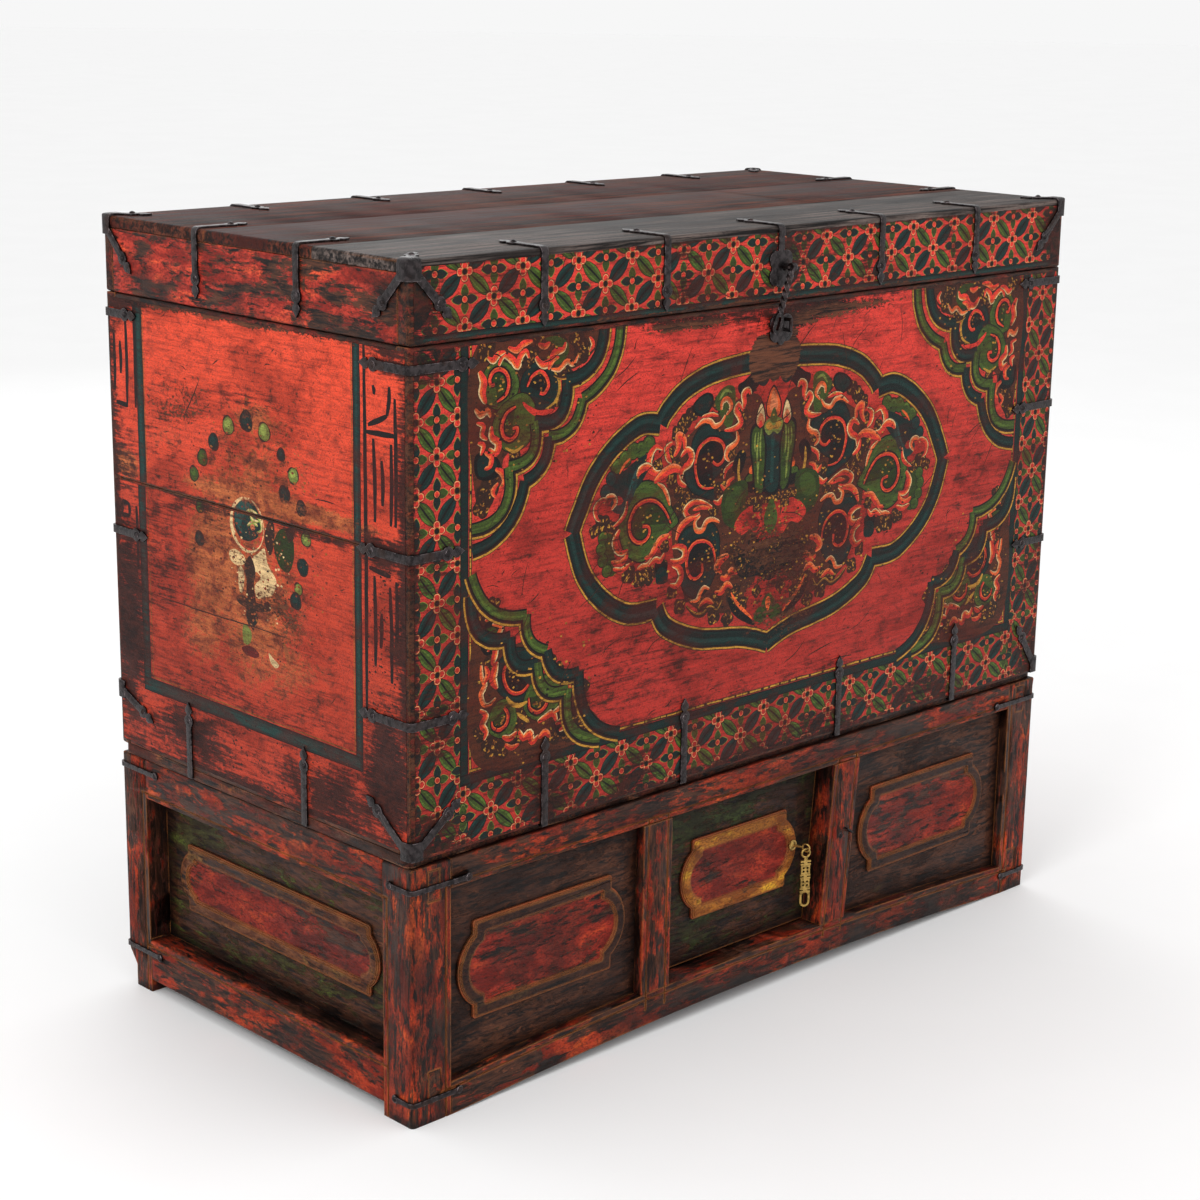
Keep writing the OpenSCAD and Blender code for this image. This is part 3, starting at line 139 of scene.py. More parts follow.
class ChestStage(bpy.types.PropertyGroup):
    """Camera, lights and floor."""
    lens: bpy.props.FloatProperty(
        name="Lens", description="Focal length of the camera", default=73.65, min=20, max=200,
        subtype="DISTANCE_CAMERA")
    camera_place: bpy.props.FloatVectorProperty(
        name="Camera place", description="Where the camera stands", size=3,
        default=(-2.20797, -2.25285, 1.29725), subtype="TRANSLATION", unit="LENGTH")
    camera_turn: bpy.props.FloatVectorProperty(
        name="Camera turn", description="Pitch down, roll and yaw of the camera", size=3,
        default=(0.25658509, 0.01547786, 0.77193492), subtype="EULER", unit="ROTATION")
    daylight: bpy.props.FloatProperty(
        name="Daylight", description="Strength of the even light all round", default=1.0, min=0, max=3)


class Recipe:
    """One procedural material. Each call adds nodes and gives back the socket to use next."""

    def __init__(self, name):
        self.material = bpy.data.materials.new(name)
        self.material.use_nodes = True
        self.tree = self.material.node_tree
        self.shader = self.tree.nodes["Principled BSDF"]
        self.place = self.add("ShaderNodeTexCoord").outputs["Object"]

    def add(self, kind, **settings):
        node = self.tree.nodes.new(kind)
        for key, value in settings.items():
            setattr(node, key, value)
        return node

    def feed(self, socket, value):
        if isinstance(value, bpy.types.NodeSocket):
            self.tree.links.new(value, socket)
        elif socket.type == "RGBA" and len(value) == 3:
            socket.default_value = (*value, 1)
        else:
            socket.default_value = value

    def cloud(self, size, stretch=(1, 1, 1), detail=4, rough=0.6, warp=0.0, seed=0.0):
        """Noise with features of about size metres, drawn out along the stretched axes."""
        mapping = self.add("ShaderNodeMapping")
        self.feed(mapping.inputs["Vector"], self.place)
        mapping.inputs["Scale"].default_value = [1 / (size * s) for s in stretch]
        mapping.inputs["Location"].default_value = (seed, seed * 0.7, seed * 1.3)
        node = self.add("ShaderNodeTexNoise")
        self.feed(node.inputs["Vector"], mapping.outputs["Vector"])
        node.inputs["Scale"].default_value = 1
        node.inputs["Detail"].default_value = detail
        node.inputs["Roughness"].default_value = rough
        node.inputs["Distortion"].default_value = warp
        return node.outputs["Fac"]

    def fade(self, value, low, high, first=0.0, last=1.0):
        """A smooth step: first below low, last above high."""
        node = self.add("ShaderNodeMapRange", interpolation_type="SMOOTHSTEP")
        self.feed(node.inputs["Value"], value)
        for key, number in (("From Min", low), ("From Max", high), ("To Min", first), ("To Max", last)):
            node.inputs[key].default_value = number
        return node.outputs["Result"]

    def sum(self, operation, a, b=0.0, c=0.0):
        """One step of arithmetic, such as ADD or MULTIPLY."""
        node = self.add("ShaderNodeMath", operation=operation)
        for socket, value in zip(node.inputs, (a, b, c)):
            self.feed(socket, value)
        return node.outputs["Value"]

    def over(self, amount, below, above, mode="MIX"):
        """One colour laid over another."""
        node = self.add("ShaderNodeMix", data_type="RGBA", blend_type=mode)
        self.feed(node.inputs[0], amount)
        self.feed(node.inputs[6], below)
        self.feed(node.inputs[7], above)
        return node.outputs[2]

    def attribute(self, name, part="Fac"):
        return self.add("ShaderNodeAttribute", attribute_name=name).outputs[part]

    def axis(self, index):
        """The place along one axis, in metres."""
        node = self.add("ShaderNodeSeparateXYZ")
        self.feed(node.inputs[0], self.place)
        return node.outputs[index]

    def arrises(self, width):
        """1 along sharp and rounded edges, 0 on flat faces."""
        bevel = self.add("ShaderNodeBevel", samples=4)
        bevel.inputs["Radius"].default_value = width
        flat = self.add("ShaderNodeNewGeometry")
        dot = self.add("ShaderNodeVectorMath", operation="DOT_PRODUCT")
        self.feed(dot.inputs[0], bevel.outputs["Normal"])
        self.feed(dot.inputs[1], flat.outputs["Normal"])
        return self.fade(dot.outputs["Value"], 0.86, 0.995, 1, 0)

    def hollows(self, reach):
        """1 in corners and recesses, 0 in the open."""
        node = self.add("ShaderNodeAmbientOcclusion", samples=6)
        node.inputs["Distance"].default_value = reach
        return self.fade(node.outputs["AO"], 0.35, 0.92, 1, 0)

    def finish(self, colour, rough, height=None, depth=0.5 * MM, **sockets):
        """Feeds the shader. height, if given, stands up to depth proud."""
        self.feed(self.shader.inputs["Base Color"], colour)
        self.feed(self.shader.inputs["Roughness"], rough)
        for key, value in sockets.items():
            self.feed(self.shader.inputs[key.replace("_", " ")], value)
        if height is not None:
            bump = self.add("ShaderNodeBump")
            bump.inputs["Strength"].default_value = 1
            bump.inputs["Distance"].default_value = depth
            self.feed(bump.inputs["Height"], height)
            self.tree.links.new(bump.outputs["Normal"], self.shader.inputs["Normal"])
        return self.material


def along(axis, factor):
    """A stretch that draws noise out along one axis."""
    return tuple(factor if i == axis else 1 for i in range(3))


def shade(colour, factor):
    return tuple(min(1, c * factor) for c in colour)


def worn_paint(name, paint, grain, cover, seed=0.0, soot=0.5, arris=None, middle=None, where=None):
    """Old paint flaking off sooty wood, with painted shade in its recesses and rubbed edges lightened as wear
    and as painted highlight. where(r), if given, is 1 where the middle colour is painted.
    """
    wood = bpy.context.scene.chest_wood
    r = Recipe(name)
    streak = r.cloud(0.006, along(grain, 7), 6, 0.7, 0.6, seed)
    patch = r.cloud(0.045, along(grain, 3.2), 5, 0.68, 0.9, seed + 3)
    flake = r.cloud(0.008, along(grain, 3.0), 5, 0.74, 0.4, seed + 7)
    fleck = r.cloud(0.0024, along(grain, 1.8), 4, 0.76, 0.2, seed + 5)
    hue = r.cloud(0.028, along(grain, 2.4), 4, 0.64, 0.5, seed + 13)
    base = r.over(where(r), paint, middle) if middle else paint
    tone = r.over(r.fade(hue, 0.42, 0.54), r.over(1.0, base, (0.5, 0.36, 0.36), "MULTIPLY"), base)
    tone = r.over(r.fade(hue, 0.55, 0.66, 0, 0.8), tone, r.over(1.0, base, (1.7, 2.6, 1.6), "MULTIPLY"))
    tone = r.over(r.fade(fleck, 0.46, 0.6, 0, 0.8), tone, r.over(1.0, base, (0.24, 0.2, 0.22), "MULTIPLY"))
    under = r.over(r.fade(streak, 0.38, 0.6), shade(wood.soot, 0.8), shade(wood.timber, 0.65))
    under = r.over(r.fade(flake, 0.54, 0.64, 0, 0.75), under, shade(wood.timber, 1.3))
    kept = r.sum("ADD", r.sum("MULTIPLY", patch, 0.36), r.sum("MULTIPLY", flake, 0.3))
    kept = r.sum("ADD", kept, r.sum("ADD", r.sum("MULTIPLY", streak, 0.22), r.sum("MULTIPLY", fleck, 0.12)))
    middle_level = 0.5 + (0.5 - cover) * 0.2
    kept = r.fade(kept, middle_level - 0.02, middle_level + 0.02)
    colour = r.over(kept, under, tone)
    # painted shade: recesses and corners darkened towards soot by an occlusion mask; soot sets its strength
    # and that of the grime below
    colour = r.over(r.sum("MULTIPLY", r.hollows(0.03), min(1, soot + 0.3)), colour, shade(wood.soot, 0.5))
    grime = r.cloud(0.1, along(grain, 1.6), 6, 0.68, 0.5, seed + 9)
    grime = r.fade(grime, 0.46, 0.62, 0, min(0.94, soot * 1.35))
    colour = r.over(grime, colour, r.over(r.fade(streak, 0.4, 0.6), wood.soot, srgb(48, 26, 18)))
    # rubbed edges lightened to bare wood: real wear, and a painted highlight along the arrises
    edge = r.arrises(3.2 * MM)
    colour = r.over(r.fade(r.sum("ADD", edge, r.sum("MULTIPLY", flake, 1.1)), 0.75, 1.15, 0, 0.9), colour,
                    arris or wood.arris)
    rough = r.fade(patch, 0.35, 0.65, 0.36, 0.56)
    height = r.sum("ADD", r.sum("MULTIPLY", kept, 0.35), r.sum("ADD", streak, r.sum("MULTIPLY", flake, 0.8)))
    return r.finish(colour, rough, height, 1.0 * MM, Specular_IOR_Level=0.16)


def bare_board(name, dark, light, grain, seed=0.0, gloss=0.5, red=None):
    """Old unpainted board, smoked and waxed, streaked along the grain, its edges lightened as wear and as
    painted highlight.
    """
    wood = bpy.context.scene.chest_wood
    r = Recipe(name)
    streak = r.cloud(0.0055, along(grain, 30), 7, 0.68, 0.5, seed)
    ring = r.cloud(0.022, along(grain, 12), 4, 0.6, 0.8, seed + 4)
    patch = r.cloud(0.12, along(grain, 2), 5, 0.62, 0.5, seed + 7)
    fleck = r.cloud(0.0022, along(grain, 3), 4, 0.7, 0, seed + 2)
    colour = r.over(r.fade(streak, 0.4, 0.62), dark, light)
    colour = r.over(r.fade(ring, 0.46, 0.64, 0, 0.75), colour, shade(dark, 0.5))
    if red:
        colour = r.over(r.fade(r.sum("ADD", streak, patch), 0.98, 1.16, 0, 0.75), colour, red)
    colour = r.over(r.fade(patch, 0.44, 0.62, 0, 0.6), colour, shade(wood.soot, 1.2))
    colour = r.over(r.fade(fleck, 0.52, 0.68, 0, 0.6), colour, shade(wood.soot, 0.8))
    # edges lightened to bare wood: real wear, and a painted highlight along the arrises
    edge = r.fade(r.sum("ADD", r.arrises(3 * MM), r.sum("MULTIPLY", streak, 1.2)), 0.95, 1.5, 0, 0.7)
    colour = r.over(edge, colour, wood.arris)
    rough = r.fade(streak, 0.35, 0.65, gloss, gloss + 0.16)
    height = r.sum("ADD", streak, r.sum("MULTIPLY", fleck, 0.5))
    return r.finish(colour, rough, height, 1.2 * MM, Specular_IOR_Level=0.12)


def forged_iron(name, seed=0.0):
    """Hammered iron, nearly black, its burnished edges brightened further as painted glints."""
    iron = bpy.context.scene.chest_iron
    r = Recipe(name)
    hammer = r.cloud(0.0065, (1, 1, 1), 3, 0.55, 0.3, seed)
    scale = r.cloud(0.0012, (1, 1, 1), 4, 0.7, 0, seed + 2)
    patch = r.cloud(0.03, (1, 1, 1), 4, 0.6, 0.4, seed + 5)
    colour = r.over(r.fade(hammer, 0.38, 0.64), shade(iron.iron, 0.35), iron.iron)
    colour = r.over(r.fade(patch, 0.5, 0.66, 0, 0.6), colour, iron.rust)
    colour = r.over(r.sum("MULTIPLY", r.hollows(0.006), 0.8), colour, shade(iron.rust, 0.2))
    # painted glints: edges brightened far above the iron's own colour, over real burnished wear
    burnish_and_glint = r.sum("MULTIPLY", r.arrises(1.0 * MM), r.fade(hammer, 0.4, 0.62))
    colour = r.over(burnish_and_glint, colour, shade(iron.iron, 8.0))
    rough = r.fade(r.sum("ADD", hammer, r.sum("MULTIPLY", scale, 0.4)), 0.5, 0.9, 0.26, 0.46)
    height = r.sum("ADD", hammer, r.sum("MULTIPLY", scale, 0.3))
    return r.finish(colour, rough, height, 1.0 * MM, Metallic=0.85)


def old_brass(name):
    """Cast brass, dull gold with dark recesses."""
    brass = bpy.context.scene.chest_iron.brass
    r = Recipe(name)
    patch = r.cloud(0.006, (1, 1, 1), 4, 0.6, 0.3)
    fine = r.cloud(0.0009, (1, 1, 1), 3, 0.6)
    colour = r.over(r.fade(patch, 0.4, 0.66), brass, shade(brass, 0.45))
    colour = r.over(r.sum("MULTIPLY", r.hollows(0.004), 0.75), colour, shade(brass, 0.12))
    colour = r.over(r.sum("MULTIPLY", r.arrises(0.6 * MM), 0.5), colour, shade(brass, 1.5))
    rough = r.fade(patch, 0.35, 0.65, 0.28, 0.48)
    return r.finish(colour, rough, r.sum("ADD", patch, r.sum("MULTIPLY", fine, 0.4)), 0.3 * MM,
                    Metallic=0.95)


def pigment(name, grain, seed=0.0, flakes=0.5, low_light=0.85, high_light=1.4):
    """Old paint of a picture: brush streaks, flakes down to the wood and soot, from the painted tones. Its
    reds carry painted light, darker low down and brighter high up.
    """
    wood = bpy.context.scene.chest_wood
    r = Recipe(name)
    tone = r.attribute("paint", "Color")
    bare, soot, tan = r.attribute("bare"), r.attribute("soot"), r.attribute("tan")
    streak = r.cloud(0.0036, along(grain, 13), 6, 0.7, 0.4, seed)
    patch = r.cloud(0.09, along(grain, 1.7), 6, 0.66, 0.7, seed + 3)
    mottle = r.cloud(0.016, along(grain, 1.5), 5, 0.68, 0.5, seed + 11)
    fleck = r.cloud(0.0034, along(grain, 1.7), 4, 0.72, 0.3, seed + 5)
    fine = r.cloud(0.0013, along(grain, 1.4), 3, 0.7, 0, seed + 7)
    loose = r.sum("ADD", r.sum("MULTIPLY", fleck, 0.45), r.sum("MULTIPLY", mottle, 0.55))
    split = r.add("ShaderNodeSeparateColor")
    r.feed(split.inputs[0], tone)
    much_red = r.fade(split.outputs[0], 0.2, 0.3)
    little_green = r.fade(split.outputs[1], 0.06, 0.1, 1, 0)
    red_only = r.sum("MULTIPLY", much_red, little_green)
    tan = r.sum("MULTIPLY", tan, r.sum("MAXIMUM", red_only, 0.3))
    # painted light: reds darkened low down and brightened high up by low_light and high_light
    painted_top_light = r.fade(r.axis(Z), 0.5, 0.9, low_light, high_light)
    tone = r.over(red_only, tone, r.over(1.0, tone, painted_top_light, "MULTIPLY"))
    old = r.sum("ADD", r.sum("MULTIPLY", tan, 1.05), r.sum("MULTIPLY", r.sum("SUBTRACT", loose, 0.5), 3.2))
    worn_tone = r.over(r.fade(mottle, 0.4, 0.62), srgb(188, 104, 56), srgb(144, 66, 36))
    colour = r.over(r.fade(old, 0.28, 0.7, 0, 0.92), tone, worn_tone)
    colour = r.over(r.fade(streak, 0.42, 0.7, 0, 0.55), colour, shade(wood.soot, 1.6))
    colour = r.over(r.fade(patch, 0.46, 0.64, 0, 0.5), colour, srgb(80, 22, 18))
    colour = r.over(r.fade(mottle, 0.48, 0.68, 0, 0.42), colour, shade(wood.soot, 2.0))
    colour = r.over(r.fade(fine, 0.48, 0.68, 0, 0.62), colour, shade(wood.soot, 1.2))
    colour = r.over(r.fade(fleck, 0.6, 0.68, 0, 0.8), colour, wood.soot)
    loss = r.sum("ADD", r.sum("MULTIPLY", fleck, 0.45),
                 r.sum("ADD", r.sum("MULTIPLY", streak, 0.2), r.sum("MULTIPLY", patch, 0.35)))
    loss = r.sum("ADD", loss, r.sum("MULTIPLY", bare, 0.36))
    gone = r.fade(loss, 0.63 - 0.05 * flakes, 0.66 - 0.05 * flakes)
    board = r.over(r.fade(streak, 0.36, 0.6), wood.soot, wood.timber)
    colour = r.over(gone, colour, board)
    smoke = r.sum("ADD", r.sum("MULTIPLY", soot, 1.1), r.sum("MULTIPLY", r.sum("SUBTRACT", loose, 0.5), 2.6))
    smoke = r.sum("ADD", smoke, r.sum("MULTIPLY", r.sum("SUBTRACT", patch, 0.5), 1.4))
    smoke = r.sum("ADD", smoke, r.sum("MULTIPLY", r.sum("SUBTRACT", streak, 0.5), 2.0))
    dark = r.over(r.fade(loose, 0.42, 0.62), wood.soot, srgb(62, 26, 18))
    colour = r.over(r.fade(smoke, 0.25, 0.9, 0, 0.96), colour, dark)
    rough = r.fade(patch, 0.35, 0.65, 0.42, 0.54)
    height = r.sum("ADD", streak, r.sum("MULTIPLY", fine, 0.6))
    height = r.sum("SUBTRACT", height, r.sum("MULTIPLY", gone, 0.8))
    return r.finish(colour, rough, height, 0.7 * MM, Specular_IOR_Level=0.12)


def dress(nodes, material):
    """Gives CAD pieces their finish."""
    for name in nodes:
        slots = frame["nodes"][name].data.materials
        slots.clear()
        slots.append(material)


def merged(bm):
    """Joins split corners and melts flat faces together."""
    bmesh.ops.remove_doubles(bm, verts=bm.verts[:], dist=2e-6)
    bmesh.ops.dissolve_limit(bm, angle_limit=math.radians(0.5), verts=bm.verts[:], edges=bm.edges[:])


def slice_up(bm, axis, step):
    """Cuts long faces across at even steps, so that they can be worked."""
    at = [v.co[axis] for v in bm.verts]
    low, high = min(at), max(at)
    count = int((high - low) / step)
    normal = Vector([1.0 if i == axis else 0.0 for i in range(3)])
    for i in range(1, count):
        bmesh.ops.bisect_plane(bm, geom=bm.verts[:] + bm.edges[:] + bm.faces[:], dist=1e-6,
                               plane_co=normal * (low + (high - low) * i / count), plane_no=normal)


def worked_copy(node, name, material, edge, slices=(), dent=0.0, dent_size=0.03, turn=40, inward=0.35):
    """A copy of a CAD piece with worn edges and hand-worked faces. It takes the piece's place.

    Edges that turn by more than turn degrees are rounded. Dents go in more than out, by the inward share.
    """
    bm = bmesh.new()
    bm.from_mesh(frame["nodes"][node].data)
    merged(bm)
    sharp = [e for e in bm.edges if e.is_manifold and e.calc_face_angle(0) > math.radians(turn)]
    bmesh.ops.bevel(bm, geom=sharp, offset=edge, segments=2, profile=0.5, affect="EDGES",
                    clamp_overlap=True, loop_slide=True)
    for axis, step in slices:
        slice_up(bm, axis, step)
    bm.normal_update()
    for v in bm.verts if dent else ():
        faces = v.link_faces
        if not faces:
            continue
        bend = 1 - min(v.normal.dot(f.normal) for f in faces)
        push = noise.noise(v.co / dent_size) - inward
        v.co += v.normal * push * dent * min(1, bend * DENT_GAIN)
    mesh = bpy.data.meshes.new(name)
    bm.to_mesh(mesh)
    bm.free()
    mesh.materials.clear()
    mesh.materials.append(material)
    for polygon in mesh.polygons:
        polygon.use_smooth = True
        polygon.material_index = 0
    mesh.set_sharp_from_angle(angle=math.radians(SMOOTH_UP_TO))
    piece = bpy.data.objects.new(name, mesh)
    bpy.context.scene.collection.objects.link(piece)
    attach(piece, frame["nodes"][node]["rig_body"])
    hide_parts(node)
    return piece


def curve(points, closed=False, step=2.6):
    """Points along a smooth line through the given ones, as complex numbers."""
    points = [complex(*p) if isinstance(p, tuple) else p for p in points]
    count = len(points)
    out = []
    for i in range(count if closed else count - 1):
        p0, p1, p2, p3 = (points[j % count if closed else min(max(j, 0), count - 1)]
                          for j in range(i - 1, i + 3))
        parts = max(1, round(abs(p2 - p1) / step))
        for k in range(parts):
            t = k / parts
            out.append(0.5 * (2 * p1 + (p2 - p0) * t + (2 * p0 - 5 * p1 + 4 * p2 - p3) * t * t
                              + (3 * p1 - p0 - 3 * p2 + p3) * t ** 3))
    return out if closed else out + [points[-1]]


def ribbon(line, wide, tips=(0.2, 0.2), aside=0.0, taper=0.35, swell=0.7):
    """The outline of a brush stroke along a line. It thins towards its tips and may run aside."""
    last = len(line) - 1
    left, right = [], []
    for i, point in enumerate(line):
        ahead = line[min(i + 1, last)] - line[max(i - 1, 0)]
        normal = 1j * ahead / max(abs(ahead), 1e-6)
        t = i / last
        press = min(1, tips[0] + (1 - tips[0]) * (t / taper) ** swell,
                    tips[1] + (1 - tips[1]) * ((1 - t) / taper) ** swell)
        middle = point + normal * aside * press
        left.append(middle + normal * wide / 2 * press)
        right.append(middle - normal * wide / 2 * press)
    return left + right[::-1]


def lobed(radius, lobes, depth, turn=0.0, squash=1.0, step=2.6):
    """A rounded shape with lobes round its edge."""
    count = max(7, round(2 * math.pi * radius / step))
    out = []
    for k in range(count):
        angle = 2 * math.pi * k / count
        r = radius * (1 + depth * abs(math.cos(lobes * (angle - turn) / 2)) - depth / 2)
        out.append(complex(r * math.cos(angle), r * squash * math.sin(angle)))
    return out


def strayed(p, size, reach, seed):
    """How far a hand-drawn line strays at a point."""
    return complex(*noise.noise_vector((p.real / size, p.imag / size, seed))[:2]) * reach


class Painting:
    """Flat shapes in painter's order on one face, in millimetres, cut into one thin skin of paint."""

    def __init__(self, ground):
        self.ground = tuple(ground)
        self.loops, self.colours = [], []
        self.blots = {"bare": [], "soot": [], "tan": []}

    def lay(self, loop, colour):
        """Adds a shape over the ones before it."""
        self.loops.append([p + strayed(p, 16, 0.55, 1.0) + strayed(p, 4, 0.3, 5.0) for p in loop])
        self.colours.append(tuple(colour))

    def blot(self, kind, x, y, wide, high, amount):
        """A worn or sooty place. Its strength fades out towards its rim."""
        self.blots[kind].append((x, y, wide, high, amount))

    def wear_down(self, wear):
        """Lays the blots of each kind, from rows of place, size and amount."""
        for kind, rows in wear.items():
            for row in rows:
                self.blot(kind, *row)

    def rub(self, kind, points, reach=1.25):
        """How strong the blots of one kind are at each point."""
        total = np.zeros(len(points))
        for x, y, wide, high, amount in self.blots[kind]:
            far = np.hypot((points[:, 0] - x) / wide, (points[:, 1] - y) / high)
            total = np.maximum(total, amount * np.clip(reach - far, 0, 1))
        return total

    def tones_at(self, points, loops, tones):
        """The number of the topmost shape over each point, or -1 outside the first loop."""
        found = np.where(enclosed(points, loops[0]), tones[0], -1)
        order = np.argsort(points[:, 0])
        at = points[order]
        for number, loop in enumerate(loops[1:], 1):
            (x0, y0), (x1, y1) = loop.min(axis=0), loop.max(axis=0)
            first, last = np.searchsorted(at[:, 0], (x0, x1))
            near = order[first:last][(at[first:last, 1] >= y0) & (at[first:last, 1] <= y1)]
            inner = near[enclosed(points[near], loop)]
            found[inner[found[inner] >= 0]] = tones[number]
        return found

    def skin(self, name, field, place, body, material, grid=8.5, proud=0.3, sunk=0.9, shaken=0.25):
        """Cuts the shapes inside a field into one mesh on the face.

        place turns x, y and the rise over the face into a point. The mesh's inner corners stand on an uneven
        grid. All sizes are in millimetres, shaken is a share of the grid.
        """
        low, high = field
        outlines = [ragged_edge(low, high)] + self.loops
        loops = [np.array([(p.real, p.imag) for p in loop]) for loop in outlines]
        palette = sorted({self.ground, *self.colours})
        tones = [palette.index(tone) for tone in [self.ground] + self.colours]
        used = [i for i, loop in enumerate(loops)
                if i == 0 or ((loop.max(axis=0) > low).all() and (loop.min(axis=0) < high).all())]
        loops, tones = [loops[i] for i in used], [tones[i] for i in used]
        points, edges = [], []
        for loop in loops:
            first = len(points)
            points += [Vector(p) for p in loop]
            edges += [(first + i, first + (i + 1) % len(loop)) for i in range(len(loop))]
        spots, faces = cut_flat(points, edges)
        found = self.tones_at(spots[faces].mean(axis=1), loops, tones)
        span = np.subtract(high, low)
        across, up = (span / grid).astype(int)
        spots, edges = seen_edges(spots, faces, found)
        for _ in range(2):
            spots, edges = eased(spots, edges)
        points = [Vector(p) for p in spots]
        for i in range(1, across):
            for j in range(1, up):
                shake = noise.noise_vector((i * 1.7, j * 1.3, 9.0)) * grid * shaken
                points.append(Vector((low[0] + span[0] * i / across + shake.x,
                                      low[1] + span[1] * j / up + shake.y)))
        spots, faces = cut_flat(points, edges)
        found = self.tones_at(spots[faces].mean(axis=1), loops, tones)
        faces, found = faces[found >= 0], found[found >= 0]
        tints = np.array(palette)[found]

        bm = bmesh.new()
        paint = bm.loops.layers.float_color.new("paint")
        worn = {kind: bm.verts.layers.float.new(kind) for kind in self.blots}
        rubs = {kind: self.rub(kind, spots) for kind in self.blots}
        verts = {}
        for index in np.unique(faces):
            vert = bm.verts.new(place(spots[index][0], spots[index][1], proud))
            for kind, layer in worn.items():
                vert[layer] = rubs[kind][index]
            verts[index] = vert
        for face, tint in zip(faces, tints):
            made = bm.faces.new([verts[i] for i in face])
            for loop in made.loops:
                loop[paint] = (*tint, 1)
        rim = [e for e in bm.edges if e.is_boundary]
        grown = bmesh.ops.extrude_edge_only(bm, edges=rim)["geom"]
        deep = Vector(place(0, 0, -sunk)) - Vector(place(0, 0, proud))
        for vert in grown:
            if isinstance(vert, bmesh.types.BMVert):
                vert.co += deep
        low_rim = [e for e in grown if isinstance(e, bmesh.types.BMEdge) and e.is_boundary]
        bmesh.ops.edgeloop_fill(bm, edges=low_rim)
        for face in bm.faces:
            if len(face.verts) > 3:
                for loop in face.loops:
                    loop[paint] = (*self.ground, 1)
        bmesh.ops.recalc_face_normals(bm, faces=bm.faces[:])
        mesh = bpy.data.meshes.new(name)
        bm.to_mesh(mesh)
        bm.free()
        mesh.materials.append(material)
        piece = bpy.data.objects.new(name, mesh)
        bpy.context.scene.collection.objects.link(piece)
        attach(piece, body)
        return piece


def cut_flat(points, edges, slack=0.02, least=1e-5):
    """Cuts the plane into triangles along the edges. Gives corner points and faces, without slivers."""
    found = delaunay_2d_cdt(points, edges, [], 0, slack, False)
    spots, faces = np.array([tuple(v) for v in found[0]]), np.array(found[2])
    corners = spots[faces]
    size = np.cross(corners[:, 1] - corners[:, 0], corners[:, 2] - corners[:, 0])
    return spots, faces[np.abs(size) > least]


def seen_edges(spots, faces, found):
    """The edges between faces of different tones, so that what was painted over leaves no cuts."""
    pairs = np.sort(np.concatenate([faces[:, [0, 1]], faces[:, [1, 2]], faces[:, [2, 0]]]), axis=1)
    tone = np.tile(found, 3)
    order = np.lexsort((tone, pairs[:, 1], pairs[:, 0]))
    pairs, tone = pairs[order], tone[order]
    same = (pairs[1:] == pairs[:-1]).all(axis=1)
    seen = pairs[1:][same & (tone[1:] != tone[:-1])]
    kept, index = np.unique(seen, return_inverse=True)
    return spots[kept], index.reshape(-1, 2).tolist()


def eased(spots, edges, slack=0.14, longest=9.0):
    """Leaves out corners that hardly bend their line, never two in a row."""
    near = [[] for _ in spots]
    for a, b in edges:
        near[a].append(b)
        near[b].append(a)
    at = spots[:, 0] + 1j * spots[:, 1]
    stays, goes, joined = set(), set(), []
    for i, ends in enumerate(near):
        if len(ends) != 2 or i in stays or ends[0] == ends[1]:
            continue
        a, b = ends
        chord = at[b] - at[a]
        bend = abs(((at[i] - at[a]) * chord.conjugate()).imag)
        if a not in goes and b not in goes and abs(chord) < longest and bend < slack * abs(chord):
            goes.add(i)
            stays.update(ends)
            joined.append((a, b))
    number = {i: k for k, i in enumerate(i for i in range(len(spots)) if i not in goes)}
    kept = [(a, b) for a, b in edges if a in number and b in number] + joined
    return spots[list(number)], [(number[a], number[b]) for a, b in kept]


def ragged_edge(low, high, step=3.0, ragged=1.0):
    """The outline between two corners, chipped unevenly like the rim of an old coat of paint."""
    corners = [complex(low[0], low[1]), complex(high[0], low[1]), complex(high[0], high[1]),
               complex(low[0], high[1])]
    middle = sum(corners) / 4
    outline = []
    for a, b in zip(corners, corners[1:] + corners[:1]):
        parts = max(1, round(abs(b - a) / step))
        for k in range(parts):
            p = a + (b - a) * k / parts
            chip = ragged * (1 + noise.noise((p.real / 7, p.imag / 7, 3.0)))
            inward = complex(math.copysign(1, middle.real - p.real), math.copysign(1, middle.imag - p.imag))
            outline.append(p + inward * chip)
    return outline


def enclosed(points, loop):
    """Which of the points lie inside the loop, by its winding round them."""
    x, y = points[:, 0], points[:, 1]
    winding = np.zeros(len(points), dtype=int)
    for (x0, y0), (x1, y1) in zip(loop, np.roll(loop, -1, axis=0)):
        if y0 == y1:
            continue
        side = (x1 - x0) * (y - y0) - (x - x0) * (y1 - y0)
        if y0 < y1:
            winding += (y0 <= y) & (y < y1) & (side > 0)
        else:
            winding -= (y1 <= y) & (y < y0) & (side < 0)
    return winding != 0


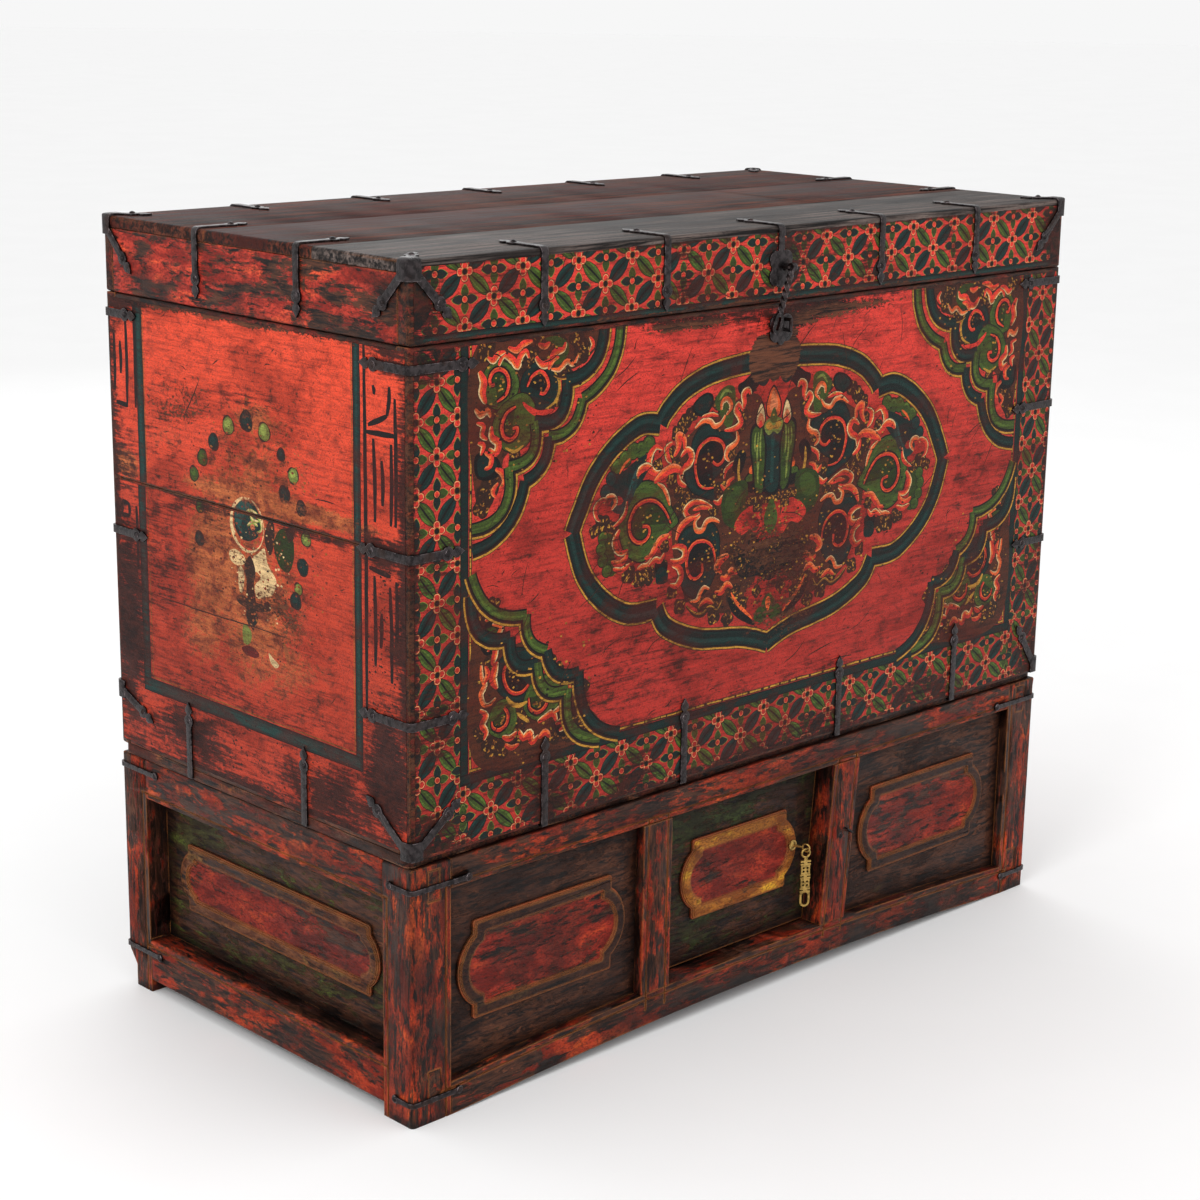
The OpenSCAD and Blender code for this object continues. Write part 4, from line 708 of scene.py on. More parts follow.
class Brush:
    """Draws on a painting from a place of its own, which may be turned or mirrored."""

    def __init__(self, painting, turn=1 + 0j, shift=0j, mirrored=False):
        self.painting, self.turn, self.shift, self.mirrored = painting, turn, shift, mirrored
        self.paint = bpy.context.scene.chest_paint

    def at(self, x=0.0, y=0.0, turn=0.0, mirror=False):
        """A brush at a place as seen from this one, turned by degrees."""
        a, b = cmath.exp(1j * math.radians(turn)), complex(x, y)
        if self.mirrored:
            a, b = a.conjugate(), -b.conjugate()
        return Brush(self.painting, self.turn * a, self.shift + self.turn * b, self.mirrored != mirror)

    def fill(self, loop, colour):
        self.painting.lay([self.shift + self.turn * (-p.conjugate() if self.mirrored else p)
                           for p in loop], colour)

    def patch(self, points, colour, step=2.6):
        self.fill(curve(points, True, step), colour)

    def plate(self, x0, y0, x1, y1, colour, step=14.0):
        corners = [complex(x0, y0), complex(x1, y0), complex(x1, y1), complex(x0, y1)]
        loop = []
        for a, b in zip(corners, corners[1:] + corners[:1]):
            parts = max(1, round(abs(b - a) / step))
            loop += [a + (b - a) * k / parts for k in range(parts)]
        self.fill(loop, colour)

    def disc(self, x, y, radius, colour, squash=1.0):
        self.fill([p + complex(x, y) for p in lobed(radius, 0, 0, squash=squash, step=1.8)], colour)

    def stroke(self, points, wide, colour, tips=(0.2, 0.2), aside=0.0, step=2.6):
        self.fill(ribbon(curve(points, step=step), wide, tips, aside), colour)

    def petal(self, points, wide, tones):
        """A curled petal in three tones, pale on its outer edge."""
        line = curve(points, step=2.4)
        self.fill(ribbon(line, wide + 1.6, (0.3, 0.3)), self.paint.umber)
        for tone, share, aside in zip(tones, (1.0, 0.82, 0.5), (0, -0.1, -0.24)):
            self.fill(ribbon(line, wide * share, (0.35, 0.25), wide * aside), getattr(self.paint, tone))

    def knot(self, x, y, size, draw):
        """A knot of raised gold grains on brown."""
        self.fill([p + complex(x, y) for p in lobed(size, 4, 0.3, x, step=3)], self.paint.umber)
        for _ in range(int(size * 1.5)):
            far, angle = size * 0.85 * draw.random() ** 0.5, draw.uniform(0, 2 * math.pi)
            middle = complex(x, y) + far * cmath.exp(1j * angle)
            turn = cmath.exp(1j * draw.uniform(0, 3))
            tone = draw.choice((self.paint.gold, self.paint.ochre, self.paint.ochre, BROWN))
            self.fill([middle + turn * p for p in lobed(draw.uniform(1.0, 2.3), 2, 0.4, 0, 0.6, 1.7)], tone)

    def spiral(self, points, wide=4.6):
        """A red spiral with dark edges and a lit side."""
        line = curve(points, step=2.4)
        self.fill(ribbon(line, wide + 4.6, (0.6, 0.6)), self.paint.ink)
        self.fill(ribbon(line, wide, (0.4, 0.8)), self.paint.scarlet)
        self.fill(ribbon(line, wide * 0.3, (0.4, 0.6), wide * 0.3), self.paint.orange)

    def scroll(self, body, points, tone, inside, draw):
        """A scroll leaf: its body, a darker grainy middle and a red spiral."""
        rim = curve(body, True, 3)
        middle = sum(rim) / len(rim)
        self.fill([middle + (p - middle) * 1.04 for p in rim], self.paint.ink)
        self.fill(rim, tone)
        self.fill([middle + (p - middle) * 0.93 + 1 for p in rim], shade(tone, 1.35))
        self.fill([middle + (p - middle) * 0.85 for p in rim], tone)
        line = curve(points, step=3)
        heart = sum(line) / len(line)
        self.fill([heart + (p - heart) * 0.9 for p in line], inside)
        for _ in range(16):
            spot = heart + draw.uniform(0.1, 0.7) * (draw.choice(line) - heart)
            tint = draw.choice((self.paint.gold, self.paint.ochre, self.paint.umber, shade(tone, 1.5)))
            self.fill([spot + p for p in lobed(draw.uniform(0.9, 2.2), 2, 0.4, spot.real, 0.7, 1.7)], tint)
        self.spiral(points)

    def leaf(self, length, wide, body, vein, lit):
        """A pointed oval leaf along x, dark along its middle and lit on both sides of it."""
        half = length / 2
        rim = [complex(-half, 0), complex(-half * 0.6, wide * 0.36), complex(0, wide / 2),
               complex(half * 0.6, wide * 0.36), complex(half, 0), complex(half * 0.6, -wide * 0.36),
               complex(0, -wide / 2), complex(-half * 0.6, -wide * 0.36)]
        self.patch([p * 1.05 for p in rim], vein, 3.4)
        self.patch([p * 0.97 for p in rim], body, 3.4)
        upper = [(-half * 0.7, wide * 0.3), (0, wide * 0.4), (half * 0.75, wide * 0.24)]
        lower = [(-half * 0.75, -wide * 0.2), (0, -wide * 0.3), (half * 0.7, -wide * 0.24)]
        self.stroke(upper, wide * 0.16, lit, step=4)
        self.stroke(lower, wide * 0.1, lit, step=4)
        self.stroke([(-half * 0.95, 0), (0, wide * 0.04), (half * 0.95, 0)], wide * 0.14, vein, step=4)

    def flower(self, radius=11.5):
        """Four round petals with pale orange rims round a dark eye."""
        rims = ((self.paint.umber, 1.12), (shade(self.paint.orange, 0.8), 1.0),
                (self.paint.cream, 0.86), (self.paint.scarlet, 0.76))
        for tone, share in rims:
            for k in range(4):
                spot = radius * 0.56 * 1j ** k
                self.disc(spot.real, spot.imag, radius * 0.43 * share, tone)
        self.disc(0, 0, radius * 0.38, self.paint.ochre)
        self.disc(0, 0, radius * 0.3, self.paint.ink)

    def cross_leaves(self, long=17.5, high=15.5):
        """Two dark leaves along and two green leaves across, round a red dot."""
        paint = self.paint
        for grow, tones in ((1.07, (paint.lime, paint.lime)), (1.0, (paint.teal, shade(paint.leaf, 0.8)))):
            for k in range(4):
                reach = (long if k % 2 == 0 else high) * grow
                self.at(turn=90 * k).patch(
                    [(1, 0), (reach * 0.3, 4.6 * grow), (reach * 0.62, 4.8 * grow), (reach, 0),
                     (reach * 0.62, -4.8 * grow), (reach * 0.3, -4.6 * grow)], tones[k % 2], 3)
        self.disc(0, 0, 5.2, paint.ink)
        self.disc(0, 0, 3.8, paint.pink)
        self.disc(0, 0, 3.0, paint.scarlet)

    def lattice(self, along_steps, across_steps, step_x, step_y, long=37.5, tilt=5):
        """Leaves from flower to flower in a diagonal lattice, with crossed leaves between."""
        paint = self.paint
        slope = math.degrees(math.atan2(step_y, step_x)) + tilt
        for i in along_steps:
            for j in across_steps:
                middle = self.at((i + 0.5) * step_x, (j + 0.5) * step_y)
                if (i + j) % 2 == 0:
                    lit = shade(paint.teal, 2.2)
                    middle.at(turn=slope).leaf(long, 17.5, shade(paint.teal, 1.2), paint.ink, lit)
                else:
                    lit = shade(paint.leaf, 1.9)
                    middle.at(turn=-slope).leaf(long, 16.5, paint.leaf, paint.ink, lit)
        for i in [*along_steps, along_steps[-1] + 1]:
            for j in [*across_steps, across_steps[-1] + 1]:
                node = self.at(i * step_x, j * step_y)
                if (i + j) % 2 == 0:
                    node.flower()
                else:
                    node.cross_leaves()


def arc(start, end, bulge, step=2.6):
    """A round stretch from start to end. It swells to the left by its bulge, a share of its width."""
    a, b = complex(*start), complex(*end)
    chord = b - a
    parts = max(4, round(abs(chord) / step))
    return [a + chord * (k / parts) + 1j * chord * bulge * (1 - (2 * k / parts - 1) ** 2)
            for k in range(parts + 1)]


def scalloped(brush, cusps, tones, wide, bulges):
    """A band of round lobes from cusp to cusp, with broken gold on its outer side."""
    paint = brush.paint
    lobes = [arc(a, b, -bulge) for a, b, bulge in zip(cusps, cusps[1:], bulges)]
    for extra, aside, tone in ((9.5, -2.6, paint.umber), (8.0, -2.6, paint.gold), (5.0, -1.6, paint.umber),
                               (4.4, 0, paint.ink)):
        for lobe in lobes:
            brush.fill(ribbon(lobe, wide + extra, (1, 1), aside), tone)
    for lobe, tone in zip(lobes, tones):
        brush.fill(ribbon(lobe, wide, (1, 1)), tone)
        brush.fill(ribbon(lobe, wide * 0.34, (0.5, 0.5), -wide * 0.14), shade(tone, 1.7))


# the three tones of a petal, from its outer edge inwards
FLAME = ("pink", "orange", "scarlet")
ROSE = ("cream", "orange", "scarlet")
WHITE = ("cream", "pink", "orange")
OLD_GOLD = ("gold", "ochre", "umber")
BROWN = srgb(80, 38, 22)


def petals(brush, rows):
    """Rows of width, tones and the points of each petal."""
    for wide, tones, *points in rows:
        brush.petal(points, wide, tones)


def knots(brush, draw, rows):
    """Rows of place and size of each knot."""
    for x, y, size in rows:
        brush.knot(x, y, size, draw)


def leafy(brush, points, radius, body):
    """A scalloped leaf: a row of round lobes with a lit upper edge."""
    for tone, share in ((brush.paint.ink, 1.14), (body, 1.0)):
        for x, y in points:
            brush.disc(x, y, radius * share, tone)
    for x, y in points:
        brush.disc(x + radius * 0.15, y + radius * 0.35, radius * 0.5, shade(body, 1.9))
        brush.disc(x + radius * 0.05, y + radius * 0.1, radius * 0.5, body)


def high_spandrel(brush, draw):
    """An upper corner ornament. x and y run along the frame, away from the corner."""
    paint = brush.paint
    leaf, teal = paint.leaf, paint.teal
    brush.patch([(0, 0), (180, 0), (160, 34), (124, 46), (118, 66), (78, 84), (66, 112), (38, 130), (34, 158),
                 (0, 184)], BROWN, 8)
    knots(brush, draw, ((12, 8, 13), (66, 30, 11), (78, 20, 11), (157, 22, 13), (146, 7, 11), (46, 60, 12),
                        (118, 6, 11), (118, 72, 9), (104, 80, 9), (14, 164, 15), (6, 180, 12), (76, 108, 9),
                        (132, 46, 9), (54, 126, 9), (34, 70, 10), (90, 4, 9), (4, 132, 8), (20, 148, 11)))
    brush.patch([(-4, 122), (12, 118), (26, 124), (34, 138), (26, 150), (6, 150), (-4, 140)], paint.ink, 4)
    brush.patch([(0, 126), (12, 122), (24, 128), (28, 138), (16, 146), (2, 144)], teal, 4)
    brush.patch([(98, 4), (116, 2), (132, 10), (134, 22), (124, 32), (112, 34), (104, 26), (116, 14)],
                shade(leaf, 0.7), 4)
    brush.scroll([(6, 44), (12, 28), (26, 20), (42, 24), (54, 34), (60, 48), (56, 62), (44, 72), (28, 74),
                  (14, 66)],
                 [(28, 66), (40, 60), (45, 49), (42, 37), (32, 30), (22, 32), (17, 40), (19, 47), (24, 46)],
                 leaf, shade(leaf, 0.45), draw)
    brush.scroll([(62, 52), (70, 36), (88, 27), (106, 30), (118, 44), (121, 60), (114, 74), (96, 82),
                  (80, 78), (68, 66)],
                 [(72, 54), (80, 43), (92, 39), (101, 46), (104, 56), (98, 64), (91, 63)], teal, paint.ink,
                 draw)
    brush.scroll([(22, 96), (28, 78), (44, 66), (66, 60), (82, 72), (84, 88), (82, 104), (72, 118), (54, 124),
                  (36, 118)],
                 [(56, 74), (42, 80), (35, 93), (38, 105), (48, 110), (57, 105), (58, 98), (51, 98)],
                 leaf, shade(leaf, 0.45), draw)
    brush.stroke([(112, 40), (121, 56), (116, 74), (100, 82)], 4, paint.gold, step=4)
    brush.stroke([(68, 118), (54, 124), (40, 118)], 4, paint.gold, step=4)
    brush.stroke([(112, 84), (90, 86), (74, 78), (66, 70)], 7, paint.scarlet, (0.2, 0.2), step=4)
    petals(brush, (
        (9, ROSE, (30, 26), (38, 16), (50, 22), (58, 30), (62, 20), (70, 14), (74, 22)),
        (8, ROSE, (14, 16), (22, 20), (30, 14), (40, 12)), (8, FLAME, (44, 8), (56, 12), (66, 6), (80, 4)),
        (10, ROSE, (84, 22), (94, 32), (106, 30), (114, 20), (126, 18), (130, 10)),
        (7, FLAME, (104, 38), (110, 28), (120, 26)),
        (6.5, WHITE, (108, 38), (120, 40), (132, 32), (142, 36), (150, 26)),
        (4, OLD_GOLD, (112, 46), (126, 50), (142, 48), (152, 40)),
        (11, ROSE, (2, 30), (8, 42), (6, 54), (12, 66)),
        (10, ROSE, (20, 92), (20, 104), (30, 112), (26, 122), (16, 116)),
        (8, WHITE, (-4, 70), (4, 78), (14, 74), (18, 82)),
        (7, ROSE, (-2, 86), (8, 90), (6, 100), (14, 106)),
        (7, FLAME, (10, 120), (20, 126), (18, 136), (10, 138)),
        (8, FLAME, (26, 140), (36, 146), (40, 156), (32, 162)), (7, ROSE, (0, 108), (8, 112), (4, 122)),
        (6, FLAME, (30, 156), (22, 164), (26, 172)), (6, ROSE, (166, 8), (172, 16), (166, 24)),
        (7, FLAME, (88, 8), (98, 12), (106, 8))))
    scalloped(brush, ((189, -6), (131, 52), (83, 94), (45, 140), (-8, 203)), (teal, teal, leaf, leaf), 11,
              (0.24, 0.36, 0.33, 0.3))
    scalloped(brush, ((214, -6), (156, 76), (105, 113), (69, 159), (-8, 227)), (leaf, leaf, teal, teal), 10,
              (0.18, 0.23, 0.2, 0.18))


def low_spandrel(brush, draw):
    """A lower corner ornament. x and y run along the frame, away from the corner."""
    paint = brush.paint
    leaf, teal = paint.leaf, paint.teal
    brush.patch([(0, 2), (182, 2), (168, 40), (138, 54), (130, 78), (90, 98), (80, 128), (46, 140), (36, 170),
                 (0, 188)], BROWN, 8)
    knots(brush, draw, ((12, 174, 14), (8, 158, 11), (24, 184, 10), (50, 70, 10), (66, 62, 9), (66, 44, 11),
                        (80, 96, 9), (110, 104, 10), (165, 62, 9), (150, 34, 13), (166, 18, 13), (20, 20, 13),
                        (38, 14, 12), (6, 40, 11), (60, 24, 11), (118, 14, 12), (140, 12, 12), (86, 108, 9),
                        (20, 120, 9), (124, 92, 8)))
    brush.patch([(4, 140), (14, 128), (30, 132), (40, 146), (34, 162), (16, 166), (4, 156)], paint.ink, 4)
    brush.patch([(8, 142), (16, 134), (28, 138), (32, 148), (26, 158), (12, 158)], shade(leaf, 0.6), 4)
    brush.scroll([(26, 100), (32, 82), (48, 70), (66, 64), (84, 70), (92, 88), (88, 108), (74, 124),
                  (54, 128), (36, 120)],
                 [(60, 104), (58, 112), (50, 115), (41, 107), (40, 96), (45, 84), (55, 76), (68, 75),
                  (78, 82)], teal, paint.ink, draw)
    brush.scroll([(70, 62), (76, 46), (92, 36), (112, 38), (126, 52), (128, 70), (116, 84), (98, 88),
                  (80, 80)], [(78, 66), (80, 53), (92, 46), (104, 51), (108, 61), (102, 68)], leaf,
                 shade(leaf, 0.4), draw)
    brush.scroll([(16, 50), (20, 36), (36, 27), (52, 30), (60, 44), (56, 62), (42, 72), (26, 68)],
                 [(22, 50), (24, 42), (34, 37), (44, 42), (46, 53), (40, 62)], leaf, shade(leaf, 0.4), draw)
    brush.patch([(120, 40), (132, 46), (146, 36), (152, 20), (140, 8), (124, 12), (118, 26)], paint.ink, 4)
    brush.stroke([(52, 134), (72, 136), (84, 122), (88, 106)], 6, paint.scarlet, (0.3, 0.2), step=4)
    brush.stroke([(100, 92), (118, 92), (130, 78), (132, 62)], 6, paint.scarlet, (0.3, 0.2), step=4)
    brush.stroke([(44, 74), (52, 64), (64, 60), (76, 62)], 6, paint.gold, (0.4, 0.3), step=4)
    brush.stroke([(60, 52), (70, 44), (80, 36)], 5, paint.gold, step=4)
    petals(brush, (
        (9, ROSE, (16, 132), (18, 140), (26, 138), (27, 128), (24, 118), (30, 112)),
        (11, ROSE, (30, 118), (26, 108), (24, 98), (30, 86)),
        (7.5, WHITE, (6, 118), (7, 104), (12, 94), (6, 84), (10, 72), (18, 70), (28, 76)),
        (9, ROSE, (4, 66), (14, 58), (8, 48), (14, 38), (10, 30)),
        (6.5, WHITE, (22, 162), (36, 158), (32, 148), (40, 142), (38, 132)),
        (8, ROSE, (38, 28), (50, 24), (60, 30)),
        (10, ROSE, (64, 30), (70, 20), (80, 24), (84, 12), (94, 18)),
        (9, ROSE, (92, 34), (104, 38), (116, 40), (122, 28)), (8, FLAME, (94, 14), (104, 20), (112, 12)),
        (7, WHITE, (116, 40), (128, 44), (138, 38), (144, 42)),
        (8, ROSE, (120, 26), (130, 28), (134, 20), (126, 16)), (7, FLAME, (42, 18), (52, 12), (64, 14)),
        (6, OLD_GOLD, (136, 10), (150, 12), (166, 14)), (6, ROSE, (154, 48), (164, 46), (172, 34)),
        (7, FLAME, (10, 96), (16, 106), (12, 116)), (6, ROSE, (12, 168), (20, 174), (16, 182))))
    scalloped(brush, ((-8, 200), (50, 143), (92, 105), (140, 65), (192, -6)), (teal, teal, leaf, leaf), 11,
              (0.28, 0.32, 0.3, 0.26))
    scalloped(brush, ((-8, 224), (74, 165), (106, 117), (157, 82), (224, -6)), (leaf, leaf, teal, teal), 10,
              (0.19, 0.21, 0.24, 0.2))


# the lobes of its right half, from the top to the bottom
CARTOUCHE = (
    ((-1, 173), (38, 172), (110, 165), (159, 149), (188, 127), (197, 114)),
    ((197, 114), (230, 117), (271, 97), (304, 66), (327, 26), (337, 5)),
    ((337, 5), (320, -44), (289, -81), (245, -106), (198, -108)),
    ((198, -108), (180, -134), (125, -158), (45, -171), (-2, -186)))


def cartouche_band(middle):
    """The dark lobed band round the middle ornament, with gold on both edges."""
    paint = middle.paint
    for wide, aside, tone in ((29, 0, paint.umber), (27, 0, paint.gold), (22.5, 0, paint.umber),
                              (20, 0, paint.ink), (16.5, 0, paint.teal), (5, 2.5, shade(paint.teal, 1.9)),
                              (5, -3.5, shade(paint.teal, 0.6))):
        for mirror in (False, True):
            for lobe in CARTOUCHE:
                middle.at(mirror=mirror).stroke(lobe, wide, tone, (1, 1), aside, 4)


def cartouche_half(half, draw):
    """Scrolls, leaves and petals of the right half of the middle ornament."""
    paint = half.paint
    leaf, teal = paint.leaf, paint.teal
    half.patch([(0, 140), (60, 146), (120, 132), (146, 110), (172, 96), (214, 92), (262, 70), (292, 40),
                (300, 10), (288, -30), (262, -62), (222, -74), (176, -70), (160, -96), (120, -122),
                (60, -140), (0, -150)], shade(paint.scarlet, 0.62), 8)
    half.patch([(20, 120), (96, 118), (140, 100), (172, 78), (184, 40), (176, -10), (168, -60), (140, -112),
                (90, -132), (40, -128), (20, -60)], BROWN, 8)
    knots(half, draw, ((290, 8, 12), (276, 0, 11), (302, 2, 8), (148, 20, 13), (162, 8, 11), (164, 30, 9),
                       (145, 120, 10), (157, 110, 11), (169, 100, 9), (212, -64, 12), (227, -66, 11),
                       (246, -58, 11), (74, -142, 10), (98, -134, 11), (158, -112, 10), (142, -100, 9),
                       (76, 66, 9), (92, 20, 12), (78, 6, 11), (60, 96, 9), (56, 108, 9), (92, 44, 9),
                       (170, 60, 10), (176, 44, 9), (104, -2, 9), (120, -116, 9), (64, -62, 11),
                       (64, -112, 12), (48, -128, 10), (96, -112, 9), (172, -92, 9), (190, -56, 9),
                       (176, 78, 8), (200, 66, 8), (186, -34, 8), (84, 136, 8), (102, 128, 8)))
    half.patch([(24, 150), (40, 158), (56, 150), (66, 146), (62, 134), (46, 130), (34, 138)], paint.ink, 4)
    half.patch([(10, 150), (18, 162), (30, 156), (30, 144), (18, 140)], shade(teal, 0.8), 4)
    half.patch([(70, 128), (72, 144), (84, 148), (98, 142), (106, 130), (100, 118), (92, 108), (86, 98),
                (76, 98), (72, 110)], shade(leaf, 0.9), 4)
    half.stroke([(76, 138), (88, 142), (98, 132)], 4, paint.lime, step=4)
    half.patch([(108, 136), (118, 143), (134, 138), (145, 128), (139, 119), (126, 115), (113, 122)],
               paint.ink, 4)
    half.patch([(111, 135), (119, 140), (133, 136), (141, 127), (136, 121), (126, 118), (115, 124)], teal, 4)
    half.scroll([(70, 83), (82, 91), (100, 94), (112, 104), (130, 101), (141, 89), (145, 74), (154, 58),
                 (153, 42), (142, 27), (125, 19), (105, 11), (102, 18), (116, 26), (110, 34), (94, 42),
                 (83, 54), (80, 68)],
                [(104, 26), (118, 27), (130, 34), (136, 48), (137, 62), (131, 77), (118, 85), (102, 85),
                 (90, 78), (86, 66), (89, 57), (98, 53), (107, 58)], teal, paint.ink, draw)
    half.scroll([(91, -54), (92, -37), (100, -22), (112, -17), (124, -25), (135, -17), (150, -18),
                 (161, -28), (162, -41), (154, -52), (157, -68), (156, -84), (146, -100), (128, -106),
                 (110, -98), (99, -84), (93, -70)],
                [(98, -72), (99, -57), (106, -44), (120, -37), (135, -38), (145, -47), (148, -62),
                 (142, -77), (131, -82), (121, -76), (121, -65)], teal, paint.ink, draw)
    half.scroll([(164, -6), (176, 12), (188, 30), (204, 45), (226, 49), (244, 40), (258, 22), (262, 0),
                 (256, -24), (242, -40), (226, -46), (212, -42), (204, -32), (190, -22), (176, -14)],
                [(176, -8), (187, 10), (202, 23), (220, 26), (236, 20), (245, 5), (243, -12), (232, -22),
                 (220, -22), (212, -14), (214, -6), (224, -4)], leaf, shade(leaf, 0.4), draw)
    leafy(half, ((216, 93), (228, 88), (241, 88), (254, 80), (267, 72)), 9.5, leaf)
    half.patch([(206, 78), (222, 81), (240, 75), (256, 67), (272, 64), (284, 60), (280, 50), (288, 44),
                (280, 36), (262, 38), (254, 30), (246, 36), (236, 42), (226, 50), (216, 62)],
               shade(teal, 0.9), 4)
    half.stroke([(222, 72), (234, 62), (240, 48), (247, 34), (256, 23), (268, 23), (273, 31), (266, 34)], 12,
                shade(teal, 2.0), (0.4, 0.3))
    half.stroke([(226, 72), (238, 60), (244, 46), (252, 32)], 3.5, shade(teal, 4.0), (0.3, 0.3))
    half.stroke([(246, 80), (256, 73), (263, 64)], 3.5, paint.orange, (0.4, 0.3))
    leafy(half, ((276, 60), (285, 46)), 8, shade(teal, 1.5))
    half.patch([(284, -4), (293, -14), (292, -32), (286, -46), (276, -56), (264, -52), (268, -36), (272, -20),
                (274, -6)], shade(leaf, 0.6), 4)
    leafy(half, ((288, -8), (291, -21), (288, -35), (281, -48)), 7.5, shade(leaf, 0.9))
    half.patch([(180, -58), (186, -70), (198, -68), (202, -54), (192, -46)], paint.ink, 4)
    half.patch([(182, -78), (180, -66), (190, -58), (200, -64), (198, -78)], shade(teal, 0.9), 4)
    petals(half, (
        (9.5, ROSE, (190, 58), (204, 57), (214, 66), (213, 79), (204, 88), (193, 84)),
        (10, ROSE, (208, 63), (219, 67), (229, 64), (234, 57)),
        (12, FLAME, (158, 53), (172, 59), (188, 56), (206, 46)),
        (6, WHITE, (179, 15), (183, 27), (190, 38), (201, 45)),
        (6.5, WHITE, (275, 23), (268, 31), (272, 39), (282, 39), (287, 32)),
        (7, ROSE, (282, 36), (291, 37), (301, 29), (299, 17), (293, 13)),
        (6, ROSE, (250, 30), (253, 16), (261, 8), (272, 3)),
        (9.5, ROSE, (261, -2), (269, -14), (266, -25), (257, -31), (247, -28)),
        (8.5, FLAME, (248, -30), (252, -39), (263, -43), (274, -38)),
        (9.5, FLAME, (178, -21), (192, -24), (201, -33), (209, -41), (219, -43)),
        (5.5, WHITE, (207, -44), (214, -51), (223, -51), (231, -54)),
        (7.5, ROSE, (186, -42), (193, -50), (201, -47), (213, -54)),
        (7.5, ROSE, (244, -46), (257, -51), (271, -47)),
        (7, WHITE, (94, 119), (93, 128), (84, 131), (77, 121), (85, 112)),
        (7, WHITE, (87, 112), (94, 104), (105, 101), (113, 108), (125, 110), (139, 102)),
        (5.5, ROSE, (99, 113), (112, 116), (127, 115)),
        (9, ROSE, (43, 132), (47, 139), (56, 134), (54, 123), (58, 114)),
        (8.5, ROSE, (57, 116), (64, 123), (69, 116), (62, 107), (60, 99), (71, 94), (88, 94)),
        (8, WHITE, (66, 90), (64, 80), (71, 74), (81, 70), (84, 61), (77, 55)),
        (6.5, ROSE, (67, 54), (76, 50), (84, 44), (86, 34)),
        (10, ROSE, (161, 43), (158, 55), (147, 61), (143, 70), (151, 78), (162, 71)),
        (9.5, FLAME, (155, 79), (157, 92), (167, 97), (166, 84), (174, 73)),
        (8, ROSE, (106, 2), (122, 10), (139, 13), (152, 5), (144, -5), (127, -2)),
        (6, FLAME, (111, 2), (126, 5), (139, 3)),
        (7.5, WHITE, (92, -18), (104, -13), (115, -14), (122, -23), (132, -22), (135, -12), (126, -5)),
        (9, FLAME, (134, -6), (149, -8), (161, -16), (167, -29)),
        (9, ROSE, (173, -37), (163, -37), (152, -43), (153, -53), (163, -56), (176, -52)),
        (9.5, ROSE, (172, -59), (161, -64), (157, -75), (165, -85), (176, -82)),
        (6.5, WHITE, (107, -99), (116, -95), (123, -101), (128, -109), (140, -109)),
        (5.5, OLD_GOLD, (83, -117), (92, -128), (106, -122), (118, -129), (134, -125), (147, -113)),
        (11, FLAME, (56, -86), (68, -83), (77, -90), (88, -87)),
        (11, FLAME, (74, -62), (87, -65), (95, -75), (86, -82)),
        (9, FLAME, (66, -104), (76, -98), (86, -106), (98, -104)),
        (8, ROSE, (176, 90), (186, 84), (184, 72), (178, 66)),
        (7, FLAME, (100, -118), (112, -112), (124, -118)), (8, ROSE, (70, 6), (84, 12), (96, 6), (104, 10)),
        (7, FLAME, (68, 34), (78, 30), (82, 20), (92, 28)), (7, ROSE, (152, 34), (162, 40), (166, 52))))
    half.stroke([(73, -114), (60, -134), (24, -158)], 10, paint.ink, (0.3, 0.2))
    half.stroke([(68, -110), (54, -128), (28, -150)], 4.5, paint.orange, (0.3, 0.2))
    half.patch([(48, 60), (58, 66), (68, 58), (72, 44), (60, 36), (52, 44)], paint.ink, 4)
    half.stroke([(60, 56), (61, 40), (58, 26)], 4.5, paint.gold, (0.2, 1.0))
    half.patch([(28, 30), (36, 38), (48, 32), (52, 20), (44, 12), (32, 12)], paint.ink, 3)
    half.patch([(32, 40), (36, 46), (42, 40), (40, 33), (34, 33)], paint.orange, 3)
    half.patch([(30, 31), (40, 34), (48, 30), (47, 26), (36, 25)], leaf, 3)


